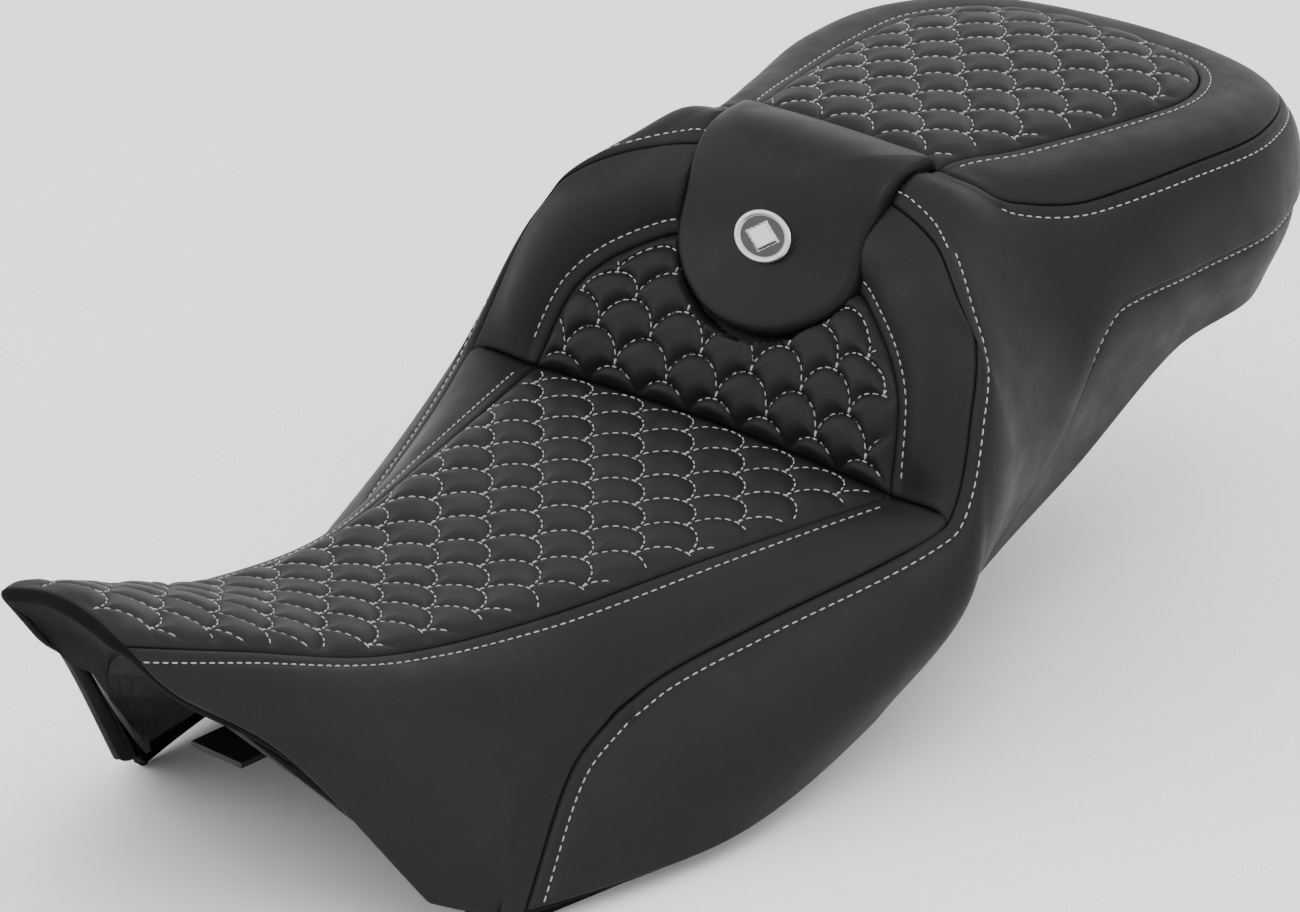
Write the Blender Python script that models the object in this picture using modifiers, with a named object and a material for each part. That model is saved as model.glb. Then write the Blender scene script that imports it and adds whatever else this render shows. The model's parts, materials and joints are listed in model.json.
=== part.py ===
"""Two-up touring motorcycle seat with a lift-up flap over the socket for a rider backrest.

The frame is the seat's own: +X to the rider's left, +Y to the tail, +Z up. The origin is in the middle
of the underside of the rubber pad that rests on the backbone of the motorcycle, so the skirts hang below
zero. All sizes are in metres.

The outer surface is one loft. Stations follow each other from the nose to the tail (u = 0, 1, 2 ...), and
on every station the surface runs from the middle line (v = 0) over the quilt seam (2), the shoulder seam
(3) and the flank (4) to the hem (5). Every cover panel is a stretch of that loft between two seams, and
foams, pads and the pan take their places from it.
"""
import math

import bmesh
import bpy
import numpy as np
from mathutils import Matrix

# Driving sizes
SEAT_LENGTH = 0.850
SEAT_WIDTH = 0.372
SEAT_HEIGHT = 0.266
COVER = 0.0018
SEAM_GAP = 0.0014
PAN_WALL = 0.0032
TOUCH_GAP = 0.0004
PAN_CLEARANCE = 0.0011
FOAM_INSET = 0.0060
PAN_INSET = 0.012
GEL_THICKNESS = 0.009
FLAP_WIDTH = 0.124
FLAP_RECESS = 0.0075
FLAP_CROWN = 0.0115
FLAP_EDGE_RISE = 0.0030
FLAP_GAP = 0.0014
FLAP_BOARD = 0.0018
FLAP_LINING = 0.0012
CLOSURE_THICKNESS = 0.0009
POST_WIDTH = 0.036
POST_DEPTH = 0.010
SOCKET_WALL = 0.003
SOCKET_HEIGHT = 0.090
SOCKET_FOOT = 0.003
BRACKET_PLATE = 0.003
TONGUE_WIDTH = 0.060
TONGUE_REACH = 0.034
REAR_TAB_WIDTH = 0.044
REAR_TAB_REACH = 0.030
RIVET_RADIUS = 0.0042
RIVET_HEAD = 0.0022
PAD_LENGTH = 0.070
PAD_WIDTH = 0.050
BUMPER_RADIUS = 0.013
BUMPER_HEIGHT = 0.012
EMBLEM_WIDTH = 0.040
EMBLEM_HEIGHT = 0.030
EMBLEM_THICKNESS = 0.0016
EMBLEM_STANDOFF = 0.0020
LAYER_GAP = 0.0011
FLAP_SHARES = (0.0, 0.25, 0.5, 0.7, 0.86)
FOAM_EDGE = 4.3
RIDER_FOAM_EDGE = 3.8
FOAM_BED_GAP = 0.0030
FOAM_RECESS_MARGIN = 0.012
FOAM_SLOT_CLEARANCE = 0.003
GEL_POCKET_ROOM = 0.05
BOLT_HEAD = 0.005
BOLT_HEAD_RADIUS = 0.0065
BOLT_RADIUS = 0.003
BOLT_LENGTH = 0.016
BOLT_ROOM = 0.020
RIVET_SHANK = 0.0024
RIVET_LENGTH = 0.011
FRONT_RIVET_PLACE = (0.018, 0.006)
REAR_RIVET_PLACE = (0.013, -0.015)
BRACKET_REACH = 0.022
REAR_BOLT_RADIUS = 0.0045
REAR_BOLT_PLACE = 0.016
REAR_BOSS_RADIUS = 0.0095
REAR_BOSS_HEIGHT = 0.0035
FRONT_BUMPER_PLACE = (0.062, -0.190)
REAR_BUMPER_PLACE = (0.082, 0.215)
HOOK_DROP = 0.016
SOCKET_Y = 0.100
FRONT_BRACKET_Y = -0.300
REAR_TAB_Y = 0.320

# Sizes that the stations below are drawn at
DRAWN_LENGTH, DRAWN_WIDTH, DRAWN_HEIGHT = 0.850, 0.372, 0.266

# Stations of the outer surface in millimetres: middle line, quarter, quilt seam, shoulder, flank, hem
STATIONS = {
    "nose edge": [(0, -452, 144), (26, -452, 140), (44, -451, 131),
                  (51, -428, 100), (80, -382, 58), (112, -322, -32)],
    "neck": [(0, -385, 116), (26, -385, 113), (50, -384, 107),
             (70, -372, 82), (104, -338, 36), (124, -308, -38)],
    "front": [(0, -300, 84), (31, -300, 82), (61, -300, 78),
              (88, -285, 58), (118, -285, 12), (134, -296, -41)],
    "side seam": [(0, -205, 70), (37, -205, 69), (73, -205, 67),
                  (112, -172, 37), (119, -226, 6), (142, -284, -42)],
    "dish": [(0, -100, 77), (50, -100, 76), (99, -98, 74),
             (142, -80, 54), (166, -110, 10), (163, -160, -43)],
    "crease": [(0, 10, 84), (64, 9, 83), (127, 6, 81),
               (171, 0, 80), (186, -18, 35), (158, -50, -24)],
    "backrest": [(0, 30, 124), (60, 28, 123), (117, 23, 121),
                 (163, 28, 134), (180, 18, 60), (152, -4, -3)],
    "inner arch": [(0, 60, 168), (52, 57, 165), (98, 42, 154),
                   (154, 42, 160), (172, 45, 80), (145, 30, 5)],
    "outer arch": [(0, 78, 211), (50, 77, 210), (95, 70, 201),
                   (141, 53, 178), (160, 75, 100), (138, 60, 12)],
    "pillion front": [(0, 112, 221), (34, 112, 220), (67, 114, 217),
                      (108, 122, 198), (150, 125, 112), (130, 95, 21)],
    "pillion mid": [(0, 170, 223), (40, 170, 221), (80, 168, 217),
                    (124, 172, 197), (147, 168, 142), (126, 165, 46)],
    "pillion wide": [(0, 225, 225), (47, 227, 222), (94, 235, 217),
                     (140, 235, 203), (149, 235, 147), (128, 245, 89)],
    "rear corner": [(0, 255, 225), (49, 272, 222), (97, 293, 217),
                    (140, 305, 204), (146, 315, 150), (128, 315, 100)],
    "rear quarter": [(0, 270, 225), (33, 303, 222), (66, 336, 216),
                     (100, 366, 203), (104, 376, 153), (90, 366, 108)],
    "tail": [(0, 280, 225), (0, 314, 222), (0, 347, 215),
             (0, 390, 202), (0, 398, 156), (0, 386, 108)],
}
NAMES = list(STATIONS)
CREASE = NAMES.index("crease")
OUTER_ARCH = NAMES.index("outer arch")
PILLION = NAMES.index("pillion front")
TAIL = len(NAMES) - 1
QUILT, HEM = 2.0, 5.0

# Places along the surface, counted in stations, and how far the hollow under the flap reaches past it
FLAP_TIP = 6.12
FLAP_ROUND_START = 7.25
FLAP_TOP = PILLION - 0.03
EMBLEM_STATION = 7.12
STATION_PITCH = 0.045
RECESS_MARGIN = 0.018
RECESS_SLOPE = 0.014

# Stations of the pan: height and place of its middle line in millimetres, and how boxy its arch is
PAN_STATIONS = [
    (-441, 129, 1.25), (-380, 98, 1.35), (-300, 58, 1.4), (-205, 36, 1.4), (-100, 27, 2.2), (0, 26, 2.6),
    (35, 32, 2.8), (60, 48, 2.8), (85, 64, 2.8), (115, 66, 2.8), (170, 94, 2.8), (225, 118, 2.6),
    (262, 127, 2.4), (282, 129, 2.2), (296, 130, 2.2),
]

STRETCH = np.array([SEAT_WIDTH / DRAWN_WIDTH, SEAT_LENGTH / DRAWN_LENGTH, SEAT_HEIGHT / DRAWN_HEIGHT])
MIRROR = np.array([-1.0, 1.0, 1.0])


def spline(points, knots):
    """Catmull-Rom curve through points[0], points[1] ... at the knots 0, 1 ... (points already extended)."""
    last = len(points) - 4
    cell = np.clip(np.floor(knots).astype(int), 0, last)
    share = (knots - cell).reshape((-1,) + (1,) * (points.ndim - 1))
    before, start, end, after = (points[cell + step] for step in range(4))
    bend = (2 * before - 5 * start + 4 * end - after) * share ** 2
    twist = (3 * start - before - 3 * end + after) * share ** 3
    return 0.5 * (2 * start + (end - before) * share + bend + twist)


def extended(points, mirrored_end=False):
    """Add one point before the first and one after the last, mirrored over the middle plane at the tail."""
    after = points[-2] * MIRROR if mirrored_end else 2 * points[-1] - points[-2]
    return np.concatenate([[2 * points[0] - points[1]], points, [after]])


RIBS = np.array([STATIONS[name] for name in NAMES]) * 0.001 * STRETCH
SMOOTH_RIBS = extended(RIBS, mirrored_end=True)
SEAT_RIBS = extended(RIBS[:CREASE + 1])
REAR_RIBS = extended(RIBS[CREASE:], mirrored_end=True)


def surface(u, v):
    """Point of the outer surface: ribs blended along u, sharp at the crease inside the shoulders."""
    side = np.sign(v) + (v == 0)
    along = abs(v)
    smooth = spline(SMOOTH_RIBS, u)
    seat = spline(SEAT_RIBS, np.minimum(u, CREASE))
    rear = spline(REAR_RIBS, np.maximum(u - CREASE, 0.0))
    sharp = np.where((u < CREASE)[:, None, None], seat, rear)
    share = np.clip(np.arange(6) - 2.5, 0, 1)[None, :, None]
    ribs = sharp + (smooth - sharp) * share
    across = np.concatenate([ribs[:, 1:2] * MIRROR, ribs, 2 * ribs[:, -1:] - ribs[:, -2:-1]], axis=1)
    cell = np.clip(np.floor(along).astype(int), 0, 4)
    share = (along - cell)[:, None]
    row = np.arange(len(u))
    before, start, end, after = (across[row, cell + step] for step in range(4))
    bend = (2 * before - 5 * start + 4 * end - after) * share ** 2
    twist = (3 * start - before - 3 * end + after) * share ** 3
    points = 0.5 * (2 * start + (end - before) * share + bend + twist)
    points[:, 0] *= side
    return points


def normal(u, v):
    """Unit normal of the outer surface, measured on the same side of the crease as the point."""
    step = 0.02
    low = np.where((u >= CREASE) & (u < CREASE + step), CREASE, u - step)
    high = np.where((u < CREASE) & (u > CREASE - step), CREASE - 1e-6, u + step)
    low, high = np.clip(low, 0, TAIL - 0.12), np.clip(high, 0.02, TAIL - 0.1)
    inner, outer = np.clip(v - step, -HEM, HEM), np.clip(v + step, -HEM, HEM)
    inner = np.where((abs(v) < 0.3) & (u > PILLION), v - 0.3, inner)
    outer = np.where((abs(v) < 0.3) & (u > PILLION), v + 0.3, outer)
    place = np.clip(u, 0, TAIL - 0.11)
    along = surface(high, v) - surface(low, v)
    across = surface(place, outer) - surface(place, inner)
    facing = np.cross(across, along)
    tail = (u > TAIL - 0.05)[:, None]
    facing = np.where(tail, facing * np.array([0.0, 1.0, 1.0]), facing)
    return facing / np.linalg.norm(facing, axis=1, keepdims=True)


def flap_half_width(u):
    """Half width of the flap along the loft: straight at the crest, round at its tip."""
    reach = np.clip((FLAP_ROUND_START - u) / (FLAP_ROUND_START - FLAP_TIP), 0, 1)
    widening = 1 + 0.06 * np.clip((u - FLAP_ROUND_START) / (PILLION - FLAP_ROUND_START), 0, 1)
    return FLAP_WIDTH / 2 * widening * np.sqrt(1 - reach ** 2)


def recess(u, v, margin=0.0):
    """Depth of the hollow that the flap lies in, wider by a margin for what lies deeper."""
    x = abs(surface(u, v)[:, 0])
    tip = FLAP_TIP - (RECESS_MARGIN + margin) / STATION_PITCH
    reach = np.clip((FLAP_ROUND_START - u) / (FLAP_ROUND_START - tip), 0, 1)
    half = (FLAP_WIDTH / 2 + RECESS_MARGIN + margin) * np.sqrt(1 - reach ** 2)
    inside = np.clip((half - x) / RECESS_SLOPE, 0, 1) * (u < PILLION + margin / STATION_PITCH)
    return FLAP_RECESS * inside * inside * (3 - 2 * inside)


def seat_face(u, v, depth=0.0, margin=0.0):
    """The cover's outer face, hollowed under the flap, or a face at a depth below it."""
    return surface(u, v) - (depth + recess(u, v, margin))[:, None] * normal(u, v)


def pan_face(u, v, rise=0.0):
    """Upper face of the pan: an arch between the two hems, lifted by a rise."""
    rows = np.array(PAN_STATIONS)
    rows = np.concatenate([[2 * rows[0] - rows[1]], rows, [rows[-2]]])
    middle = spline(rows, u)
    centre_y, centre_z = middle[:, 0] * 0.001 * STRETCH[1], middle[:, 1] * 0.001 * STRETCH[2]
    box = middle[:, 2]
    hem = surface(u, np.full_like(u, HEM))
    inward = np.array([1.0, 0, 0]) * np.minimum(hem[:, :1], PAN_INSET)
    rear = np.clip(u - PILLION, 0, TAIL - PILLION)[:, None] / (TAIL - PILLION)
    front = np.clip(1 - u / 2.0, 0, 1)[:, None]
    hem = hem - inward + np.array([0, 0.009, 0]) * front - np.array([0, PAN_INSET, 0]) * rear + [0, 0, 0.004]
    turn = abs(v) / HEM * math.pi / 2
    out = np.sin(turn) ** (2 / box)
    drop = 1 - np.cos(turn) ** (2 / box)
    lean = np.clip((u - CREASE) / (PILLION - CREASE), 0, 1)
    back = drop + (out - drop) * lean
    x = hem[:, 0] * out * np.sign(v)
    y = centre_y + (hem[:, 1] - centre_y) * back
    z = centre_z + (hem[:, 2] - centre_z) * drop + rise
    return np.stack([x, y, z], axis=1)


# Seams, each a list of (u, v) places that both neighbours share
SIDE_SEAM = [(3, v) for v in np.linspace(5, 3.4, 9)]
SIDE_SEAM += [(3.12, 3.15), (3.35, 3.03), (3.7, 3), (4.13, 3), (4.57, 3), (5, 3)]
CREASE_END = [(5, 2), (5, 2.33), (5, 2.67)]
ROLL_ARM_INNER = [(5, 2), (5.4, 2), (5.8, 2), (6.2, 2), (6.5, 1.98), (6.75, 1.9), (6.92, 1.7)]
ROLL_ARM_OUTER = [(5, 3), (5.5, 3), (6, 3), (6.5, 3), (7, 3), (7.45, 2.93), (7.8, 2.65)]
ROLL_INNER = ROLL_ARM_INNER + [(7, v) for v in np.linspace(1.4, 0, 10)]
ROLL_OUTER = ROLL_ARM_OUTER + [(7.97, 2.3)] + [(8, v) for v in np.linspace(2.0, 0.9, 6)]
ROLL_OUTER += [(8, 0.6), (8, 0.3), (8, 0)]
SLOT_SIDE = [(8.33, 0.9), (8.67, 0.9)]
BORDER_FRONT = [(9, 0.9), (9, 1.3), (9, 1.65), (9, 2), (9.12, 2.4), (9.3, 2.7), (9.6, 2.93)]
BORDER_OUTER = [(u, 3) for u in np.linspace(10, 14, 13)]
BORDER_INNER = [(u, 2) for u in (9, 9.2, 9.55)] + [(u, 2) for u in np.linspace(10, 14, 13)]
LOWER_CURVE = np.array([(8, 5), (8.12, 4.93), (8.4, 4.77), (8.7, 4.6), (9, 4.45), (9.5, 4.15),
                        (10, 4), (14, 4)])
LOWER_START = 8.2
TONGUE_CLEARANCE = 0.03
WRAP_FOOT = list(np.linspace(3.3, 7.5, 11)) + [7.8] + list(np.linspace(8.0, 8.4, 7)) + [8.47, 8.53]
WRAP_FOOT += [8.6, 8.7, 8.8, 8.9, 9.1, 9.3, 9.6] + list(np.linspace(10, 14, 13))


def lower_edge(u):
    """Where the wrap panel ends: on the hem, then on the seam above the passenger skirt."""
    return (u, float(np.interp(u, LOWER_CURVE[:, 0], LOWER_CURVE[:, 1])))


PARTS = "motorcycle_seat"
CUTTERS = "cutters"


def start_scene():
    """Empty the file and make the two collections."""
    for thing in list(bpy.data.objects):
        bpy.data.objects.remove(thing, do_unlink=True)
    for name in (PARTS, CUTTERS):
        bpy.context.scene.collection.children.link(bpy.data.collections.new(name))


def finish(name, colour, roughness, metallic=0.0):
    """Principled material of one piece."""
    material = bpy.data.materials.new(name)
    material.use_nodes = True
    shader = material.node_tree.nodes["Principled BSDF"]
    shader.inputs["Base Color"].default_value = (*colour, 1.0)
    shader.inputs["Roughness"].default_value = roughness
    shader.inputs["Metallic"].default_value = metallic
    return material


def vinyl():
    return finish("vinyl", (0.030, 0.030, 0.031), 0.48)


def foam():
    return finish("foam", (0.62, 0.57, 0.42), 0.9)


def gel():
    return finish("gel", (0.10, 0.28, 0.42), 0.35)


def steel():
    return finish("zinc_steel", (0.55, 0.56, 0.58), 0.38, 1.0)


def black_steel():
    return finish("black_steel", (0.025, 0.025, 0.027), 0.42, 0.6)


def rubber():
    return finish("rubber", (0.018, 0.018, 0.019), 0.75)


def plastic():
    return finish("moulded_plastic", (0.022, 0.022, 0.023), 0.55)


def link(name, mesh, material, collection=PARTS):
    """Put a mesh in the scene as one piece."""
    piece = bpy.data.objects.new(name, mesh)
    if material:
        mesh.materials.append(material)
    bpy.data.collections[collection].objects.link(piece)
    return piece


def mesh_of(name, points, faces):
    mesh = bpy.data.meshes.new(name)
    mesh.from_pydata([tuple(point) for point in points], [], faces)
    mesh.shade_smooth()
    mesh.set_sharp_from_angle(angle=math.radians(38))
    return mesh


def grid_faces(rows, columns, start=0):
    """Quads of a grid whose normal is (along columns) x (along rows)."""
    corner = [(start + i * columns + j) for i in range(rows - 1) for j in range(columns - 1)]
    return [(k, k + 1, k + columns + 1, k + columns) for k in corner]


def drawn_back(grid, gap):
    """Draw the rim of a panel back by half of the seam's gap."""
    pulled = grid.copy()
    for edge, inner in ((0, 1), (-1, -2)):
        for rim, near in ((pulled[edge], pulled[inner]), (pulled[:, edge], pulled[:, inner])):
            toward = near - rim
            rim += toward / np.linalg.norm(toward, axis=1, keepdims=True) * gap / 2
    return pulled


def closed_loft(name, outer, inner, material):
    """One closed body between an outer and an inner grid of the same size."""
    rows, columns = outer.shape[:2]
    count = rows * columns
    faces = grid_faces(rows, columns)
    faces += [tuple(reversed(face)) for face in grid_faces(rows, columns, count)]
    rim = [i * columns for i in range(rows)]
    rim += [(rows - 1) * columns + j for j in range(1, columns)]
    rim += [i * columns + columns - 1 for i in range(rows - 2, -1, -1)]
    rim += [j for j in range(columns - 2, 0, -1)]
    faces += [(a, b, b + count, a + count) for a, b in zip(rim, rim[1:] + rim[:1])]
    points = np.concatenate([outer.reshape(-1, 3), inner.reshape(-1, 3)])
    return link(name, mesh_of(name, points, faces), material)


def between(first, last, columns):
    """Grid of (u, v) places between two rows of seam places."""
    first, last = np.array(first, float), np.array(last, float)
    share = np.linspace(0, 1, columns)[None, :, None]
    return first[:, None, :] + (last - first)[:, None, :] * share


def cover_panel(name, first, last, columns, mirrored=False):
    """A sewn panel: the loft between two rows of seam places, as a shell as thick as the cover."""
    places = between(first, last, columns)
    u, v = places[..., 0].ravel(), places[..., 1].ravel()
    faces = [seat_face(u, v, depth).reshape(places.shape[:2] + (3,)) for depth in (0.0, COVER)]
    faces = [drawn_back(face, SEAM_GAP) for face in faces]
    if mirrored:
        faces = [(face * MIRROR)[:, ::-1] for face in faces]
    return closed_loft(name, faces[0], faces[1], vinyl())


def both_sides(places):
    """Seam places of the right half followed by those of the left, for a panel that crosses the middle."""
    return list(places) + [(u, -v) for u, v in reversed(places[:-1])]


def make_passenger_quilt():
    """Quilted top of the passenger pad, closed at the tail where its two halves meet."""
    u_values = [u for u, v in BORDER_INNER]
    u, v, shape = open_half(u_values, np.linspace(0, QUILT, 7))
    faces = []
    for depth in (0.0, COVER):
        face = seat_face(u, v, depth).reshape(shape)
        for rim, near in ((face[0], face[1]), (face[:, -1], face[:, -2])):
            toward = near - rim
            rim += toward / np.linalg.norm(toward, axis=1, keepdims=True) * SEAM_GAP / 2
        face[-1, :, 0] = 0.0
        faces.append(face)
    mirrored_loft("passenger_quilt_panel", faces[0], faces[1], vinyl())


def make_covers():
    rows = [(u, 2) for u in np.linspace(0, 5, 20)]
    cover_panel("rider_quilt_panel", [(u, -v) for u, v in rows], rows, 9)
    rows = ROLL_INNER[:8]
    cover_panel("backrest_quilt_panel", [(u, -v) for u, v in rows], rows, 19)
    cover_panel("backrest_roll", both_sides(ROLL_INNER), both_sides(ROLL_OUTER), 5)
    make_passenger_quilt()
    outer = BORDER_FRONT[4:] + BORDER_OUTER
    cover_panel("passenger_border", both_sides(BORDER_INNER), both_sides(outer), 5)
    side_rows = CREASE_END + SIDE_SEAM[::-1]
    front_rows = [(0, v) for v in np.linspace(2, 5, len(side_rows))]
    beside_roll = [(u + TONGUE_CLEARANCE * (v < 2.5), v) for u, v in ROLL_OUTER[1:-3]]
    before_quilt = [(u - TONGUE_CLEARANCE * (v <= 2), v) for u, v in BORDER_FRONT]
    wrap_top = SIDE_SEAM[8:] + beside_roll + SLOT_SIDE + before_quilt + BORDER_OUTER
    wrap_bottom = [(3, 5)] + [lower_edge(u) for u in WRAP_FOOT]
    skirt_top = [lower_edge(LOWER_START)] + [lower_edge(u) for u in WRAP_FOOT if u > LOWER_START + 0.05]
    skirt_bottom = [(u, 5) for u, v in skirt_top]
    for side, mirrored in (("left", False), ("right", True)):
        cover_panel(f"rider_side_panel_{side}", front_rows[::-1], side_rows[::-1], 13, mirrored)
        cover_panel(f"wrap_panel_{side}", wrap_top, wrap_bottom, 8, mirrored)
        cover_panel(f"passenger_skirt_panel_{side}", skirt_top, skirt_bottom, 4, mirrored)


def open_half(u_values, v_values):
    """Grid of places over the left half of the seat, from the middle line outwards."""
    u, v = np.meshgrid(u_values, v_values, indexing="ij")
    return u.ravel(), v.ravel(), u.shape + (3,)


def mirrored_loft(name, upper, lower, material):
    """A body between an upper and a lower grid of the left half, mirrored at the middle plane."""
    rows, columns = upper.shape[:2]
    count = rows * columns
    faces = grid_faces(rows, columns) + [tuple(reversed(face)) for face in grid_faces(rows, columns, count)]
    front = [j for j in range(columns)]
    outside = [i * columns + columns - 1 for i in range(rows)]
    faces += [(b, a, a + count, b + count) for a, b in zip(front, front[1:])]
    faces += [(b, a, a + count, b + count) for a, b in zip(outside, outside[1:])]
    points = np.concatenate([upper.reshape(-1, 3), lower.reshape(-1, 3)])
    on_plane = abs(points[:, 0]) < 1e-5
    points[on_plane, 0] = 0.0
    if not on_plane[[(rows - 1) * columns + j for j in range(columns)]].all():
        back = [(rows - 1) * columns + j for j in range(columns)]
        faces += [(a, b, b + count, a + count) for a, b in zip(back, back[1:])]
    piece = link(name, mesh_of(name, points, faces), material)
    mirror = piece.modifiers.new("left and right", "MIRROR")
    mirror.merge_threshold = 0.0001
    return piece


def foam_body(name, u_values, edge, across):
    """Moulded foam between the cover and the pan over a stretch of stations."""
    u, v, shape = open_half(u_values, np.linspace(0, edge, across))
    top = seat_face(u, v, FOAM_INSET, FOAM_RECESS_MARGIN).reshape(shape)
    bed = pan_face(u, v, FOAM_BED_GAP).reshape(shape)
    return mirrored_loft(name, top, bed, foam())


def cut_by(piece, cutter):
    """Cut a piece with a solid that stays hidden."""
    cut = piece.modifiers.new(cutter.name, "BOOLEAN")
    cut.operation = "DIFFERENCE"
    cut.solver = "EXACT"
    cut.object = cutter
    cutter.hide_render = True
    cutter.display_type = "WIRE"


def joined(piece, blank):
    """Add a blank to a piece as one solid."""
    join = piece.modifiers.new(blank.name, "BOOLEAN")
    join.operation = "UNION"
    join.object = blank
    blank.hide_render = True
    blank.display_type = "WIRE"


def box(name, low, high, material=None, collection=PARTS):
    """Block between two corners, standing where it belongs."""
    low, high = np.array(low), np.array(high)
    mesh = bpy.data.meshes.new(name)
    work = bmesh.new()
    bmesh.ops.create_cube(work, size=1.0)
    bmesh.ops.scale(work, vec=high - low, verts=work.verts)
    work.to_mesh(mesh)
    work.free()
    piece = link(name, mesh, material, collection)
    piece.location = (low + high) / 2
    return piece


def rounded(piece, width, segments=2):
    bevel = piece.modifiers.new("rounded edges", "BEVEL")
    bevel.width = width
    bevel.segments = segments
    return piece


def drum(name, radius, low, high, material=None, collection=PARTS, sides=20, top_radius=None):
    """Round block along local Z between two heights."""
    mesh = bpy.data.meshes.new(name)
    work = bmesh.new()
    bmesh.ops.create_cone(work, cap_ends=True, segments=sides, radius1=radius,
                          radius2=top_radius or radius, depth=high - low)
    bmesh.ops.translate(work, vec=(0, 0, (low + high) / 2), verts=work.verts)
    work.to_mesh(mesh)
    work.free()
    mesh.shade_smooth()
    mesh.set_sharp_from_angle(angle=math.radians(40))
    return link(name, mesh, material, collection)


def pan_faces():
    """Upper and lower face of the pan over its left half, as grids of points."""
    u, v, shape = open_half(np.linspace(0, TAIL, 43), np.linspace(0, HEM, 9))
    top = pan_face(u, v).reshape(shape)
    facing = np.cross(np.gradient(top, axis=1), np.gradient(top, axis=0))
    length = np.linalg.norm(facing, axis=2, keepdims=True)
    facing = np.where(length > 1e-9, facing / np.maximum(length, 1e-12), [0, 0, 1.0])
    facing[:, 0] = facing[:, 0] * [0, 1, 1]
    facing[-1] = facing[-1] * [0, 1, 1]
    facing[-1, :3] = [0, 0, 1.0]
    facing /= np.linalg.norm(facing, axis=2, keepdims=True)
    return top, top - facing * PAN_WALL


def heights_over(grid, x, y, reach, is_round=False):
    """Heights of a face of the pan inside a footprint around (x, y), measured all over its facets."""
    share = np.linspace(0, 1, 33)
    s, t = share[:, None, None], share[None, :, None]
    corners = [grid[a:a - 1 or None, b:b - 1 or None, None, None] for a in (0, 1) for b in (0, 1)]
    points = (corners[0] * (1 - s) * (1 - t) + corners[1] * (1 - s) * t
              + corners[2] * s * (1 - t) + corners[3] * s * t).reshape(-1, 3)
    points = np.concatenate([points, points * MIRROR])
    away = abs(points[:, :2] - [x, y]) / reach
    inside = (np.hypot(*away.T) if is_round else away.max(axis=1)) <= 1
    return points[inside, 2]


def under_pan(x, y, reach, is_round=False):
    """Height just under the pan at (x, y) for a flat face that reaches this far around."""
    return heights_over(pan_faces()[1], x, y, reach, is_round).min() - PAN_CLEARANCE


def over_pan(x, y, reach):
    """Height just over the pan at (x, y) for a flat foot that reaches this far around."""
    return heights_over(pan_faces()[0], x, y, reach).max() + PAN_CLEARANCE


def make_foams():
    foam_body("rider_foam", np.linspace(0.4, CREASE - 0.04, 15), RIDER_FOAM_EDGE, 13)
    bolster = foam_body("bolster_foam", np.linspace(CREASE + 0.04, OUTER_ARCH + 0.48, 21), FOAM_EDGE, 17)
    passenger = foam_body("passenger_foam", np.linspace(OUTER_ARCH + 0.52, TAIL, 20), FOAM_EDGE, 13)
    half = socket_outer() + FOAM_SLOT_CLEARANCE
    low = (-half[0], SOCKET_Y - half[1], -0.05)
    high = (half[0], SOCKET_Y + half[1], SEAT_HEIGHT)
    slot = box("receiver_slot_cutter", low, high, None, CUTTERS)
    foot = foot_half() + FOAM_SLOT_CLEARANCE
    low = (-foot[0], SOCKET_Y - foot[1], -0.05)
    high = (foot[0], SOCKET_Y + foot[1], over_pan(0, SOCKET_Y, foot_half()) + SOCKET_FOOT + BOLT_HEAD + 0.006)
    well = box("receiver_foot_cutter", low, high, None, CUTTERS)
    for piece in (bolster, passenger):
        cut_by(piece, slot)
        cut_by(piece, well)


def gel_pad(name, foam_name, rows, half_v):
    """Soft pad let into the top of a foam, with a pocket cut to fit it."""
    def slab(grow, above, below):
        first, last = rows[0] - grow, rows[1] + grow
        places = between([(u, -half_v - grow) for u in np.linspace(first, last, 9)],
                         [(u, half_v + grow) for u in np.linspace(first, last, 9)], 9)
        u, v = places[..., 0].ravel(), places[..., 1].ravel()
        return [seat_face(u, v, depth).reshape(9, 9, 3) for depth in (above, below)]
    top, bottom = slab(0.0, FOAM_INSET + 0.0005, FOAM_INSET + 0.0005 + GEL_THICKNESS)
    closed_loft(name, top, bottom, gel())
    top, bottom = slab(GEL_POCKET_ROOM, -0.010, FOAM_INSET + 0.0025 + GEL_THICKNESS)
    pocket = closed_loft(name + "_pocket_cutter", top, bottom, None)
    bpy.data.collections[PARTS].objects.unlink(pocket)
    bpy.data.collections[CUTTERS].objects.link(pocket)
    cut_by(bpy.data.objects[foam_name], pocket)


def make_pan():
    """Moulded pan: the arch under the foams, as thick as its wall."""
    top, bottom = pan_faces()
    return mirrored_loft("seat_pan", top, bottom, plastic())


def socket_outer():
    return np.array([POST_WIDTH / 2 + SOCKET_WALL, POST_DEPTH / 2 + SOCKET_WALL])


def foot_half():
    return socket_outer() + np.array([BOLT_ROOM, 0.002])


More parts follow.
